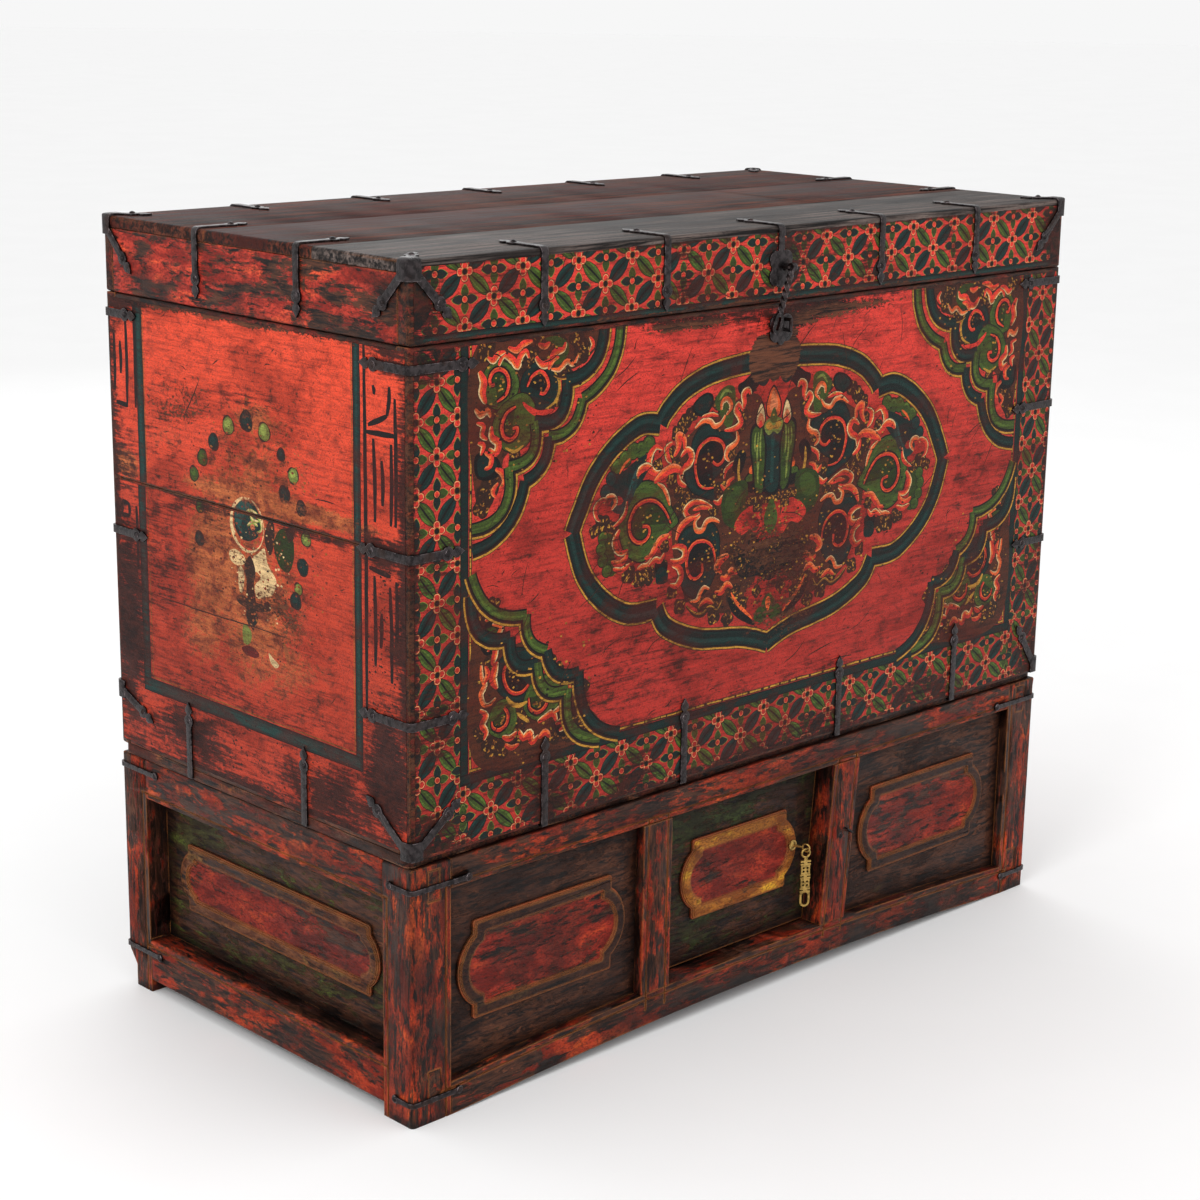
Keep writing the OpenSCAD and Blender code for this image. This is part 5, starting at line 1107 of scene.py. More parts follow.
def lotus_stand(middle, draw):
    """The vase, its buds and the lotus under it."""
    paint = middle.paint
    leaf, teal = paint.leaf, paint.teal
    for mirror in (False, True):
        half = middle.at(mirror=mirror)
        half.patch([(14, 92), (22, 98), (40, 92), (42, 66), (37, 40), (32, 10), (14, 8)], paint.ink, 4)
        half.patch([(16, 86), (24, 93), (37, 88), (39, 66), (34, 42), (29, 14), (16, 12)],
                   shade(leaf, 0.75), 4)
        for x, top, low in ((22, 88, 52), (27, 84, 36), (32, 84, 60), (25, 48, 20)):
            half.stroke([(x, top), (x + 1.5, (top + low) / 2), (x, low)], 3.2, paint.lime, step=5)
        half.patch([(16, 92), (15, 104), (22, 122), (32, 108), (34, 96), (26, 88)], paint.ink, 4)
        half.patch([(18, 93), (17, 104), (23, 119), (30, 107), (31, 96), (25, 91)], paint.cream, 4)
        half.patch([(18, 92), (18, 100), (24, 108), (30, 100), (30, 94), (25, 90)], paint.pink, 4)
        half.patch([(20, 92), (24, 99), (28, 92), (25, 89)], paint.scarlet, 3)
        half.patch([(44, 22), (62, 28), (84, 20), (90, 0), (82, -22), (60, -30), (46, -16)],
                   shade(leaf, 0.5), 4)
        half.patch([(52, 18), (66, 22), (80, 14), (82, -4), (64, -8), (54, 4)], shade(leaf, 0.85), 4)
        half.patch([(22, -2), (30, 2), (40, -6), (56, -14), (66, -28), (52, -40), (36, -36), (22, -50),
                    (16, -34), (20, -18)], paint.scarlet, 4)
        half.patch([(26, -6), (34, -8), (46, -18), (52, -28), (38, -30), (26, -34), (24, -18)],
                   shade(paint.scarlet, 0.7), 4)
        half.patch([(6, -100), (22, -102), (36, -108), (44, -118), (24, -126), (8, -124)],
                   shade(paint.scarlet, 0.8), 4)
        half.knot(10, -60, 9, draw)
        half.knot(24, -64, 9, draw)
        half.knot(26, -8, 8, draw)
        half.knot(22, -116, 8, draw)
        half.patch([(4, -140), (18, -138), (26, -150), (12, -158), (2, -152)], shade(leaf, 0.6), 4)
    middle.plate(-46, -6, 46, 7, paint.umber, 6)
    for x in range(-42, 44, 7):
        middle.knot(x, draw.uniform(-2, 3), 5, draw)
    middle.patch([(-17, 92), (-14, 60), (-14, 8), (14, 8), (14, 60), (17, 92)], paint.ink, 4)
    middle.patch([(-14, 88), (-11, 60), (-11, 12), (11, 12), (11, 60), (14, 88)], shade(teal, 1.2), 4)
    middle.patch([(-4, 84), (-3, 56), (-4, 20), (2, 20), (2, 56), (3, 84)], shade(teal, 2.4), 4)
    middle.patch([(-17, 93), (-15, 84), (-8, 78), (0, 82), (8, 78), (15, 84), (17, 93), (8, 99), (0, 92),
                  (-8, 99)], paint.lime, 3)
    middle.patch([(-15, 90), (-8, 84), (0, 86), (8, 84), (15, 90), (8, 95), (0, 89), (-8, 95)], paint.gold, 3)
    middle.patch([(-13, 102), (-15, 118), (-2, 140), (12, 120), (12, 102), (0, 98)], paint.ink, 4)
    middle.patch([(-11, 103), (-13, 118), (-2, 137), (10, 119), (10, 103), (0, 100)], paint.orange, 4)
    middle.patch([(-8, 110), (-7, 122), (-2, 133), (5, 121), (6, 110), (-1, 106)], paint.pink, 4)
    middle.patch([(-7, 98), (0, 112), (7, 98), (0, 92)], shade(leaf, 1.2), 3)
    middle.patch([(-9, -38), (-12, -22), (0, -2), (12, -22), (9, -38), (0, -46)], leaf, 4)
    middle.patch([(-66, -66), (-52, -58), (-30, -66), (-8, -58), (10, -66), (32, -56), (52, -62), (66, -70),
                  (54, -92), (20, -96), (2, -106), (-22, -96), (-52, -94)], paint.ink, 5)
    for x, y in ((-50, -84), (-24, -78), (4, -84), (30, -76), (52, -82), (-6, -68), (-38, -70)):
        middle.knot(x, y, 7, draw)
        middle.disc(x, y, 6.0, shade(paint.umber, 0.6), 0.6)
    middle.patch([(-9, -128), (-12, -138), (0, -150), (12, -138), (9, -128), (0, -122)], shade(leaf, 0.7), 4)
    middle.patch([(-5, -132), (0, -126), (5, -132), (0, -146)], paint.orange, 3)


def worn_specks(brush, draw, middle, reach, count, tones):
    """Specks of gold and brown where raised work has rubbed off."""
    for _ in range(count):
        angle, far = draw.uniform(0, 2 * math.pi), draw.random() ** 0.5
        x = middle[0] + reach[0] * far * math.cos(angle)
        y = middle[1] + reach[1] * far * math.sin(angle)
        size = draw.uniform(0.8, 2.2)
        brush.fill([complex(x, y) + p for p in lobed(size, 3, 0.5, angle, 0.7, 1.6)], draw.choice(tones))


def scratches(brush, draw, low, high, count, tone, long=(12, 60)):
    """Thin scratches, mostly from upper right to lower left."""
    for _ in range(count):
        x, y = draw.uniform(low[0], high[0]), draw.uniform(low[1], high[1])
        turn, size = math.radians(draw.gauss(38, 28)), draw.uniform(*long)
        bend = draw.uniform(-0.12, 0.12) * size
        line = [complex(x, y) + p * cmath.exp(1j * turn) for p in (0, complex(size / 2, bend), size)]
        brush.fill(ribbon(curve(line, step=4), draw.uniform(0.7, 1.7), (0.1, 0.1)), tone)


# place, reach to the side and upwards, and strength of each blot
FRONT_WEAR = {
    "bare": ((552, 831, 22, 26, 2.4), (574, 831, 26, 26, 2.4), (596, 831, 22, 26, 2.4),
             (600, 872, 60, 12, 0.8), (560, 590, 110, 60, 0.36), (576, 500, 90, 40, 0.34),
             (700, 880, 160, 12, 0.55), (420, 884, 120, 10, 0.5)),
    "soot": ((575, 899, 700, 14, 1.1), (575, 320, 700, 18, 1.1), (-2, 600, 18, 400, 1.2),
             (1152, 600, 16, 400, 1.0), (10, 330, 80, 50, 1.1), (1145, 330, 60, 60, 0.9),
             (700, 336, 140, 30, 0.75), (350, 340, 60, 50, 0.75), (960, 600, 90, 120, 0.25),
             (300, 470, 200, 70, 0.42), (290, 600, 170, 110, 0.28), (20, 885, 70, 30, 1.0),
             (880, 350, 110, 30, 0.7), (560, 570, 120, 60, 0.4), (560, 410, 560, 26, 0.4),
             (560, 885, 80, 30, 0.8), (180, 400, 120, 40, 0.5), (36, 660, 50, 40, 0.6),
             (36, 480, 50, 60, 0.6), (1120, 460, 50, 120, 0.5), (200, 340, 60, 40, 0.7))}


def paint_front(painting):
    """Lattice borders, corner ornaments and the middle ornament of the trunk's front."""
    brush = Brush(painting)
    paint = brush.paint
    draw = random.Random(11)
    frame_left, field_left, field_right, frame_right = 71, 83, 1068, 1080
    frame_low, field_low, top = 397, 409, 910
    corner_left, corner_right, corner_low, corner_top = 96, 1058, 414, 892
    up_the_side = 90
    brush.at(38, 857, up_the_side, True).lattice(range(-1, 14), range(-2, 2), 40.5, 29)
    brush.at(1113, 865, up_the_side, True).lattice(range(-1, 14), range(-2, 2), 41, 27)
    brush.plate(field_left, 300, field_right - 4, 402, paint.red)
    brush.at(117, 358.5).lattice(range(-1, 23), range(-2, 2), 41.6, 29)
    brush.plate(field_left, 398, field_right, top, paint.red)
    for x0, y0, x1, y1 in ((frame_left, frame_low - 1, field_left, top),
                           (field_right, frame_low - 1, frame_right, top),
                           (frame_left, frame_low, frame_right, field_low)):
        brush.plate(x0, y0, x1, y1, paint.ink)
        brush.plate(x0 + 1.5, y0 + 1.5, x1 - 1.5, y1 - 1.5, paint.teal)
    for x0, y0, x1, y1 in ((field_left + 1, field_low, field_left + 5, top),
                           (field_right - 5, field_low, field_right - 1, top),
                           (field_left + 1, field_low + 0.5, field_right - 1, field_low + 5)):
        brush.plate(x0, y0, x1, y1, paint.umber, 7)
        long = max(x1 - x0, y1 - y0)
        at = 0.0
        while at < long:
            dash = draw.uniform(8, 26)
            a, b = at, min(at + dash, long)
            if x1 - x0 < y1 - y0:
                brush.plate(x0 + 0.8, y0 + a, x1 - 1.2, y0 + b, paint.gold, 5)
            else:
                brush.plate(x0 + a, y0 + 1.2, x0 + b, y1 - 1, paint.gold, 5)
            at += dash + draw.uniform(1, 5)
    for corner in (brush.at(corner_left, corner_top, 180, True), brush.at(corner_right, corner_top, 180)):
        high_spandrel(corner, draw)
    for corner in (brush.at(corner_left, corner_low), brush.at(corner_right, corner_low, mirror=True)):
        low_spandrel(corner, draw)
    middle = brush.at(576, 657)
    for mirror in (False, True):
        cartouche_half(middle.at(mirror=mirror), draw)
    lotus_stand(middle, draw)
    cartouche_band(middle)
    worn_specks(brush, draw, (576, 590), (120, 70), 330, (paint.umber, paint.ochre, paint.gold, paint.ink))
    worn_specks(brush, draw, (576, 655), (290, 140), 420, (paint.umber, paint.ochre, paint.ink, paint.gold))
    for x, y in ((180, 810), (180, 490), (970, 810), (970, 490)):
        worn_specks(brush, draw, (x, y), (100, 90), 110, (paint.umber, paint.ochre, paint.ink, paint.gold))
    scratches(brush, draw, (100, 420), (1070, 880), 120, paint.umber)
    scratches(brush, draw, (330, 700), (860, 880), 50, paint.ink, (4, 12))
    scratches(brush, draw, (10, 330), (1140, 890), 80, paint.ink, (5, 18))
    painting.wear_down(FRONT_WEAR)


# place, size and colour of each bead, then start and end of each fret stroke
BEADS = ((282, 778, 11, "teal"), (247, 768, 10, "lime"), (316, 770, 10, "lime"), (217, 744, 9, "teal"),
         (347, 749, 6.5, "teal"), (194, 722, 9, "leaf"), (369, 728, 8.5, "lime"), (176, 700, 8, "leaf"),
         (352, 704, 9, "teal"), (383, 693, 8, "teal"), (391, 659, 8, "lime"), (384, 625, 9, "teal"),
         (375, 598, 6.5, "lime"), (370, 583, 9, "teal"), (184, 623, 8, "teal"), (186, 662, 7, "leaf"),
         (285, 547, 10, "teal"))
FRET = ((497, 480, 497, 893), (503, 806, 536, 820), (536, 820, 540, 852), (512, 850, 514, 840),
        (514, 700, 512, 792), (541, 700, 542, 790), (500, 798, 550, 800), (513, 538, 512, 640),
        (541, 524, 539, 632), (503, 648, 540, 644), (549, 560, 550, 640), (549, 700, 549, 840),
        (522, 560, 524, 600), (527, 720, 526, 770), (14, 778, 15, 852), (40, 764, 41, 868),
        (58, 762, 59, 890), (16, 764, 42, 762), (20, 624, 36, 625), (20, 641, 36, 640), (20, 624, 20, 641),
        (36, 624, 36, 641), (28, 800, 28, 840), (52, 560, 52, 640))


# two opposite corners of the bars and of the thin lines beside them
SIDE_BARS = ((61, 668, 76, 910), (57, 409, 73, 668), (477, 409, 490, 910), (57, 408, 490, 426))
SIDE_LINES = ((76.5, 430, 77.8, 905), (474.5, 430, 476, 905), (76, 427.5, 476, 429))
SIDE_WEAR = {
    "tan": ((330, 689, 200, 13, 1.6), (220, 600, 80, 100, 1.0), (290, 560, 110, 120, 0.8),
            (290, 690, 120, 110, 0.62), (350, 500, 90, 60, 0.5), (190, 520, 60, 70, 0.7),
            (30, 690, 40, 22, 1.0), (300, 780, 70, 30, 0.7), (120, 740, 60, 40, 0.35)),
    "soot": ((180, 666, 90, 11, 0.8), (410, 666, 100, 11, 0.8), (30, 470, 46, 190, 1.05),
             (534, 420, 52, 110, 1.2), (286, 326, 380, 24, 1.15), (566, 620, 20, 400, 1.05),
             (4, 620, 20, 400, 1.05), (530, 668, 70, 24, 0.95), (560, 560, 30, 60, 0.7),
             (160, 372, 130, 40, 0.8), (420, 368, 150, 40, 0.8), (30, 700, 50, 60, 0.7),
             (110, 730, 60, 40, 0.4), (30, 885, 70, 24, 1.0), (540, 885, 60, 30, 0.9),
             (282, 560, 20, 30, 0.35), (214, 652, 40, 16, 0.45), (280, 800, 60, 20, 0.4),
             (400, 470, 60, 40, 0.3), (286, 440, 240, 20, 0.35), (100, 600, 60, 120, 0.35)),
    "bare": ((290, 600, 120, 110, 0.12), (350, 560, 46, 40, 0.25), (286, 893, 280, 8, 0.5),
             (140, 770, 80, 60, 0.2))}


def paint_side(painting, seed):
    """Frame lines, fret strokes and the ring of beads round a boss on the trunk's side."""
    brush = Brush(painting)
    paint = brush.paint
    draw = random.Random(seed)
    cream, tan = paint.cream, srgb(150, 78, 42)
    for x0, y0, x1, y1 in SIDE_BARS:
        brush.plate(x0, y0, x1, y1, paint.ink)
        brush.plate(x0 + 1.5, y0 + 1.5, x1 - 1.5, y1 - 1.5, shade(paint.teal, 1.4))
        brush.plate(x0 + 4, y0 + 4, x1 - 5, y1 - 5, shade(paint.teal, 2.3))
    for x0, y0, x1, y1 in SIDE_LINES:
        brush.plate(x0, y0, x1, y1, paint.ochre, 8)
    for x0, y0, x1, y1 in FRET:
        brush.stroke([(x0, y0), ((x0 + x1) / 2 + 1.2, (y0 + y1) / 2), (x1, y1)], 6.5, shade(paint.ink, 1.5),
                     (0.6, 0.6), step=6)
    for x, y, size, tone in BEADS:
        tint = getattr(paint, tone)
        brush.fill([complex(x, y) + p for p in lobed(size + 1.6, 3, 0.14, x)], paint.umber)
        brush.fill([complex(x, y) + p for p in lobed(size, 3, 0.1, y)], shade(tint, 0.9))
        brush.fill([complex(x - 1.5, y + 2) + p for p in lobed(size * 0.55, 4, 0.3, x)], shade(tint, 1.5))
    for points, tone in (
            (((243, 618), (256, 623), (272, 618), (274, 610), (260, 604), (246, 608)), cream),
            (((260, 600), (268, 604), (272, 592), (268, 574), (262, 574)), shade(cream, 0.9)),
            (((288, 618), (300, 626), (312, 634), (318, 616), (334, 600), (326, 582), (310, 576), (296, 572),
              (292, 586), (304, 598), (292, 606)), cream),
            (((272, 606), (284, 620), (294, 604), (290, 586), (294, 560), (284, 534), (274, 556), (276, 586)),
             shade(paint.umber, 0.8)),
            (((256, 566), (270, 570), (300, 566), (318, 572), (322, 562), (296, 556), (262, 558)),
             paint.umber),
            (((330, 640), (340, 660), (356, 664), (368, 650), (366, 626), (356, 614), (340, 618)),
             shade(paint.leaf, 0.4)),
            (((312, 646), (322, 668), (332, 664), (330, 640), (322, 628)), paint.umber),
            (((352, 662), (364, 668), (370, 658), (360, 650)), paint.umber),
            (((266, 530), (272, 536), (284, 528), (280, 514), (268, 512)), shade(paint.lime, 0.9)),
            (((264, 506), (282, 511), (298, 505), (292, 499), (272, 499)), srgb(92, 20, 16)),
            (((316, 510), (324, 506), (336, 500), (330, 495), (320, 499)), shade(cream, 0.8)),
            (((346, 528), (354, 522), (356, 508), (348, 512)), tan)):
        brush.patch(points, tone, 3.4)
    for x, y, size, tone in ((279, 656, 33, cream), (281, 656, 30, paint.scarlet), (280, 660, 26, paint.teal),
                             (276, 664, 20, shade(paint.teal, 3.4)), (283, 654, 15, shade(paint.teal, 1.4))):
        brush.disc(x, y, size, tone)
    brush.stroke([(258, 640), (270, 634), (284, 634), (300, 642), (304, 652)], 7, srgb(150, 30, 22),
                 (0.3, 0.3))
    brush.stroke([(252, 668), (250, 654), (256, 642)], 3, cream, (0.2, 0.2))
    for points in (((276, 668), (284, 674), (296, 672), (306, 664), (306, 654), (298, 651)),
                   ((280, 656), (290, 661), (300, 658)), ((286, 668), (292, 663), (302, 664))):
        brush.stroke(points, 5, shade(paint.lime, 1.5), (0.4, 0.3))
        brush.stroke(points, 2, cream, (0.4, 0.3), 0.8)
    brush.disc(290, 655, 4.2, paint.pink)
    brush.stroke([(78, 535), (200, 534), (300, 536), (368, 535)], 1.8, paint.umber, (0.3, 0.1), step=8)
    brush.stroke([(404, 708), (430, 709), (448, 708)], 1.3, paint.ink, (0.2, 0.1), step=8)
    brush.stroke([(158, 766), (176, 790), (192, 814)], 2.2, shade(paint.umber, 1.6), (0.3, 0.2), step=8)
    scratches(brush, draw, (90, 430), (480, 890), 45, paint.umber, (3, 14))
    worn_specks(brush, draw, (290, 640), (140, 170), 420, (tan, paint.umber, srgb(130, 46, 28), paint.ochre))
    worn_specks(brush, draw, (300, 600), (60, 70), 160, (tan, paint.umber, cream, srgb(130, 46, 28)))
    worn_specks(brush, draw, (534, 560), (40, 90), 120, (paint.ink, paint.umber))
    worn_specks(brush, draw, (280, 370), (290, 50), 200, (paint.ink, paint.umber))
    painting.wear_down(SIDE_WEAR)


def paint_lid_front(painting):
    """The lattice band on the front of the lid."""
    brush = Brush(painting)
    paint = brush.paint
    draw = random.Random(5)
    brush.at(119, 942).lattice(range(-3, 25), range(-2, 2), 41.75, 29.5)
    start, end = 0, 1150
    brush.plate(start, 890, end, 908, paint.ink)
    brush.plate(start, 892, end, 906.5, shade(paint.teal, 1.2))
    brush.plate(start, 902, end, 904.5, shade(paint.teal, 2.2))
    scratches(brush, draw, (40, 905), (1120, 975), 70, paint.umber, (4, 22))
    painting.blot("soot", 575, 986, 700, 11, 1.1)
    for x, wide, amount in ((6, 46, 1.3), (1146, 46, 1.3), (250, 26, 0.5), (416, 26, 0.5), (590, 60, 0.8),
                            (740, 26, 0.5), (905, 26, 0.5), (150, 60, 0.35), (680, 60, 0.35)):
        painting.blot("soot", x, 945, wide, 60, amount)
    painting.blot("bare", 575, 897, 640, 7, 0.6)


# name, place and size in metres, power in watts
LIGHTS = (("key", (-3.4, -1.2, 2.6), (1.5, 1.5), 46),
          ("front_fill", (1.2, -3.6, 2.0), (2.6, 2.0), 14),
          ("top", (0.5, 1.3, 3.0), (3.2, 1.8), 6),
          ("back_fill", (1.8, 3.4, 2.4), (2.0, 2.0), 14))
LIT_POINT = Vector((0, 0, 0.5))
FLOOR_RADIUS = 40
SENSOR = 36
NEAREST = 0.05


def pale_floor():
    """Nearly white, even floor."""
    r = Recipe("pale_floor")
    grain = r.fade(r.cloud(0.4, (1, 1, 1), 3), 0.4, 0.6)
    colour = r.over(grain, srgb(246, 246, 246), srgb(247, 247, 247))
    return r.finish(colour, 0.9, Specular_IOR_Level=0.1)


class CHEST_OT_stage(bpy.types.Operator):
    """Pale floor, soft studio lights and the camera"""
    bl_idname = "chest.stage"
    bl_label = "Stage"

    def execute(self, context):
        stage = context.scene.chest_stage
        context.scene.view_settings.view_transform = "Standard"
        bm = bmesh.new()
        bmesh.ops.create_circle(bm, cap_ends=True, radius=FLOOR_RADIUS, segments=96)
        mesh = bpy.data.meshes.new("floor")
        bm.to_mesh(mesh)
        bm.free()
        mesh.materials.append(pale_floor())
        floor = bpy.data.objects.new("floor", mesh)
        context.scene.collection.objects.link(floor)

        world = bpy.data.worlds.new("studio")
        world.use_nodes = True
        background = world.node_tree.nodes["Background"]
        sky = world.node_tree.nodes.new("ShaderNodeTexCoord")
        split = world.node_tree.nodes.new("ShaderNodeSeparateXYZ")
        rise = world.node_tree.nodes.new("ShaderNodeMapRange")
        for key, level in (("From Min", 0.02), ("From Max", 0.5), ("To Min", 0.93), ("To Max", 1.0)):
            rise.inputs[key].default_value = level
        world.node_tree.links.new(sky.outputs["Generated"], split.inputs[0])
        world.node_tree.links.new(split.outputs["Z"], rise.inputs["Value"])
        world.node_tree.links.new(rise.outputs["Result"], background.inputs["Color"])
        background.inputs["Strength"].default_value = stage.daylight
        context.scene.world = world
        for name, place, size, power in LIGHTS:
            light = bpy.data.lights.new(name, "AREA")
            light.shape = "RECTANGLE"
            light.size, light.size_y = size
            light.energy = power
            lamp = bpy.data.objects.new(name, light)
            lamp.location = place
            lamp.rotation_euler = (LIT_POINT - Vector(place)).to_track_quat("-Z", "Y").to_euler()
            context.scene.collection.objects.link(lamp)

        pitch, roll, yaw = stage.camera_turn
        ahead = Vector((math.sin(yaw) * math.cos(pitch), math.cos(yaw) * math.cos(pitch), -math.sin(pitch)))
        level = Vector((math.cos(yaw), -math.sin(yaw), 0))
        upright = level.cross(ahead)
        right = level * math.cos(roll) + upright * math.sin(roll)
        up = upright * math.cos(roll) - level * math.sin(roll)
        data = bpy.data.cameras.new("camera")
        data.lens = stage.lens
        data.sensor_width = SENSOR
        data.clip_start = NEAREST
        camera = bpy.data.objects.new("camera", data)
        camera.matrix_world = (Matrix.Translation(stage.camera_place)
                               @ Matrix((right, up, -ahead)).transposed().to_4x4())
        context.scene.collection.objects.link(camera)
        context.scene.camera = camera
        return {"FINISHED"}


class CHEST_OT_cabinet(bpy.types.Operator):
    """Worn red frame, dark panels, plaques and door of the cabinet"""
    bl_idname = "chest.cabinet"
    bl_label = "Cabinet"

    def execute(self, context):
        wood = context.scene.chest_wood
        edge = wood.arris_round
        rails = {axis: worn_paint(f"cabinet_paint_{'xyz'[axis]}", wood.cabinet_red, axis, 1 - wood.wear,
                                  seed=axis * 11.0) for axis in (X, Y, Z)}
        for post in ("post_front_left", "post_front_right", "post_back_left", "post_back_right"):
            worked_copy(post, "worn_" + post, rails[Z], edge, ((Z, 0.012),), 2 * MM, 0.03)
        for rail in ("front_top_rail", "front_bottom_rail", "back_top_rail", "back_bottom_rail"):
            worked_copy(rail, "worn_" + rail, rails[X], edge, ((X, 0.014),), 2 * MM, 0.035)
        for mullion in ("left_mullion", "right_mullion"):
            worked_copy(mullion, "worn_" + mullion, rails[Z], edge, ((Z, 0.012),), 1.6 * MM, 0.03)
        for rail in ("side_top_rails", "side_bottom_rails"):
            worked_copy(rail, "worn_" + rail, rails[Y], edge, ((Y, 0.014),), 2 * MM, 0.035)
        dress(("front_left_panel", "front_right_panel", "back_panel"),
              worn_paint("panel_ground", srgb(48, 28, 20), X, 0.3, 31.0, 0.9))
        dress(("left_side_panel", "right_side_panel"),
              worn_paint("side_panel_ground", srgb(64, 62, 26), Y, 0.42, 37.0, 0.7))
        dress(("door_board",), worn_paint("door_ground", srgb(50, 58, 26), X, 0.5, 47.0, 0.7))
        half_sunk, blur = 1.5 * MM, 0.5 * MM
        front_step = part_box("front_plaques")[0][Y] + half_sunk
        door_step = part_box("door_plaque")[0][Y] + half_sunk
        side_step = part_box("side_plaques")[1][X] - half_sunk
        plaque_edge = 0.5 * MM
        worked_copy("front_plaques", "worn_front_plaques", worn_paint(
            "plaque_paint", srgb(58, 32, 22), X, 0.62, 41.0, 0.45, middle=wood.panel_red,
            where=lambda r: r.fade(r.axis(Y), front_step - blur, front_step + blur)), plaque_edge)
        worked_copy("side_plaques", "worn_side_plaques", worn_paint(
            "side_plaque_paint", srgb(112, 66, 38), Y, 0.62, 43.0, 0.45, middle=shade(wood.panel_red, 0.8),
            where=lambda r: r.fade(r.sum("ABSOLUTE", r.axis(X)), side_step - blur, side_step + blur, 1, 0)),
            plaque_edge)
        worked_copy("door_plaque", "worn_door_plaque", worn_paint(
            "door_plaque_paint", wood.door_ochre, X, 0.74, 53.0, 0.3, middle=wood.panel_red,
            where=lambda r: r.fade(r.axis(Y), door_step - blur, door_step + blur)), plaque_edge)
        inner = bare_board("inner_boards", shade(wood.timber, 0.35), shade(wood.timber, 0.8), X, 5.0, 0.6)
        dress(("cabinet_floor", "cabinet_top_boards"), inner)
        return {"FINISHED"}


class CHEST_OT_trunk(bpy.types.Operator):
    """Boards of the trunk"""
    bl_idname = "chest.trunk"
    bl_label = "Trunk boards"

    def execute(self, context):
        wood = context.scene.chest_wood
        edge = wood.arris_round
        ends = worn_paint("trunk_end_paint", srgb(108, 38, 28), X, 0.42, 61.0, 0.6)
        sides = worn_paint("trunk_side_paint", srgb(132, 44, 32), Y, 0.42, 67.0, 0.6)
        for board in ("trunk_front_board", "trunk_back_board"):
            worked_copy(board, "worn_" + board, ends, edge, ((X, 0.016),), 1.6 * MM, 0.04)
        for board in ("trunk_left_upper_board", "trunk_left_lower_board",
                      "trunk_right_upper_board", "trunk_right_lower_board"):
            worked_copy(board, "worn_" + board, sides, edge, ((Y, 0.016),), 1.4 * MM, 0.04)
        bottom = worn_paint("bottom_board_paint", srgb(104, 48, 32), Y, 0.5, 3.0, 0.6, srgb(150, 104, 74))
        worked_copy("trunk_bottom_board", "worn_trunk_bottom_board", bottom, edge,
                    ((Y, 0.012), (X, 0.016)), 3 * MM, 0.02)
        return {"FINISHED"}


class CHEST_OT_lid(bpy.types.Operator):
    """Boards and rails of the lid"""
    bl_idname = "chest.lid"
    bl_label = "Lid boards"

    def execute(self, context):
        wood = context.scene.chest_wood
        edge = wood.arris_round
        front = bare_board("lid_front_wood", srgb(12, 8, 8), srgb(112, 98, 92), X, 7.0, 0.5)
        rest = bare_board("lid_top_wood", srgb(24, 13, 11), srgb(104, 56, 40), X, 9.0, 0.56,
                          red=srgb(104, 40, 30))
        worked_copy("lid_front_board", "worn_lid_front_board", front, edge, ((X, 0.016),), 2.2 * MM, 0.04)
        for board in ("lid_middle_board", "lid_back_board"):
            worked_copy(board, "worn_" + board, rest, edge, ((X, 0.016),), 2.2 * MM, 0.04)
        ends = worn_paint("lid_end_paint", srgb(120, 40, 30), X, 0.4, 71.0)
        sides = worn_paint("lid_side_paint", srgb(184, 56, 40), Y, 0.5, 73.0, 0.62)
        for rail in ("lid_front_rail", "lid_back_rail"):
            worked_copy(rail, "worn_" + rail, ends, edge, ((X, 0.016),), 1.2 * MM, 0.04)
        for rail in ("lid_left_rail", "lid_right_rail"):
            worked_copy(rail, "worn_" + rail, sides, edge, ((Y, 0.016),), 1.2 * MM, 0.04)
        return {"FINISHED"}


# lower left and upper right corner of each painting, in millimetres from the face's edge and from the floor
FRONT_FIELD = (5, 326), (1145, 892.5)
SIDE_FIELDS = {"lower": ((6, 332), (566, 668.5)), "upper": ((6, 671.5), (566, 892.5))}
LID_FIELD = (6, 900.5), (1144, 981.5)


class CHEST_OT_paintings(bpy.types.Operator):
    """Painted ornament on the front, the sides and the front of the lid"""
    bl_idname = "chest.paintings"
    bl_label = "Paintings"

    def execute(self, context):
        paint = context.scene.chest_paint
        left, face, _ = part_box("trunk_front_board")[0]
        right, back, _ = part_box("trunk_back_board")[1]

        def on_front(x, y, rise):
            return left + x * MM, face - rise * MM, y * MM

        def on_left(x, y, rise):
            return left - rise * MM, back - x * MM, y * MM

        def on_right(x, y, rise):
            return right + rise * MM, back - x * MM, y * MM

        front = Painting(paint.red)
        paint_front(front)
        front.skin("front_painting", FRONT_FIELD, on_front, "carcase", pigment("front_pigment", X), 10.0)
        # 0.95 and 1.6 set the painted light on the sides' reds, low down and high up
        side_pigment = pigment("side_pigment", Y, 21.0, 0.9, 0.95, 1.6)
        for word, place, seed in (("left", on_left, 3), ("right", on_right, 8)):
            side = Painting(srgb(186, 60, 36))
            paint_side(side, seed)
            for height, field in SIDE_FIELDS.items():
                side.skin(f"{word}_{height}_painting", field, place, "carcase", side_pigment)
        band = Painting(paint.red)
        paint_lid_front(band)
        band.skin("lid_front_painting", LID_FIELD, on_front, "lid", pigment("lid_pigment", X, 41.0, 0.8))
        return {"FINISHED"}


IRON_NODES = (
    "cabinet_straps", "trunk_corner_straps", "trunk_corner_braces", "trunk_bottom_straps",
    "trunk_hinge_leaves", "trunk_hasp_plate", "lid_edge_straps", "lid_corner_braces",
    "lid_hinge_leaves", "lid_hasp_plate")


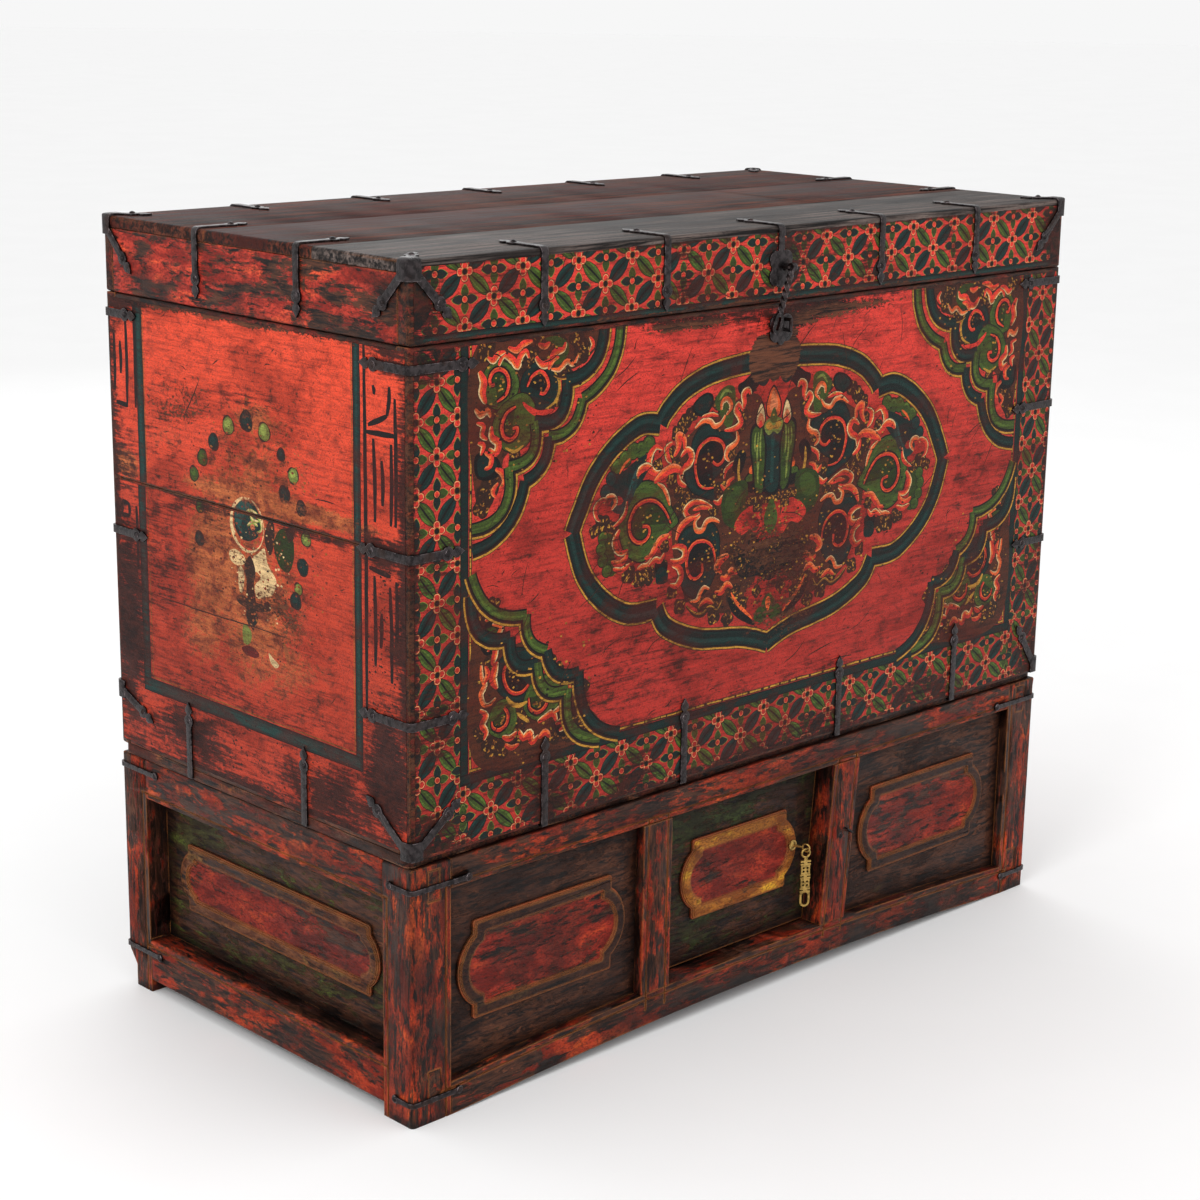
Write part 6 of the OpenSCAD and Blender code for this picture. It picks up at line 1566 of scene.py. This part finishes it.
class CHEST_OT_iron(bpy.types.Operator):
    """Straps, nails, hinges and hasp"""
    bl_idname = "chest.iron"
    bl_label = "Iron"

    def execute(self, context):
        iron = forged_iron("forged_iron")
        edge = context.scene.chest_iron.edge_round
        for node in IRON_NODES:
            worked_copy(node, "forged_" + node, iron, edge, dent=0)
        dress(("cabinet_nails", "mullion_staple", "trunk_nails", "hinge_pins", "trunk_hasp_staple",
               "lid_nails", "lid_hasp_staple", "hasp"), iron)
        dress(("pull_pin", "pull_pendant"), old_brass("old_brass"))
        return {"FINISHED"}


class CHEST_PT_panel(bpy.types.Panel):
    """Lists the steps that finish the chest, and their settings"""
    bl_label = "Painted chest"
    bl_idname = "CHEST_PT_panel"
    bl_space_type = "VIEW_3D"
    bl_region_type = "UI"
    bl_category = "Chest"

    def draw(self, context):
        for step in STEPS:
            self.layout.operator(step.bl_idname)
        for group in GROUPS:
            settings = getattr(context.scene, group)
            box = self.layout.box()
            for key in settings.bl_rna.properties.keys():
                if key not in ("rna_type", "name"):
                    box.prop(settings, key)


GROUPS = {"chest_paint": ChestPaint, "chest_wood": ChestWood, "chest_iron": ChestIron,
          "chest_stage": ChestStage}
STEPS = (CHEST_OT_stage, CHEST_OT_cabinet, CHEST_OT_trunk, CHEST_OT_lid, CHEST_OT_paintings, CHEST_OT_iron)


def register():
    for kind in (*GROUPS.values(), *STEPS, CHEST_PT_panel):
        bpy.utils.register_class(kind)
    for key, kind in GROUPS.items():
        setattr(bpy.types.Scene, key, bpy.props.PointerProperty(type=kind))


def unregister():
    for key in GROUPS:
        delattr(bpy.types.Scene, key)
    for kind in (CHEST_PT_panel, *STEPS, *GROUPS.values()):
        bpy.utils.unregister_class(kind)


def main():
    register()
    for start in bpy.data.objects[:]:
        if start.name in ("Cube", "Light", "Camera"):
            bpy.data.objects.remove(start)
    bpy.ops.chest.stage()
    bpy.ops.chest.cabinet()
    bpy.ops.chest.trunk()
    bpy.ops.chest.lid()
    bpy.ops.chest.paintings()
    bpy.ops.chest.iron()


if __name__ == "__main__":
    main()
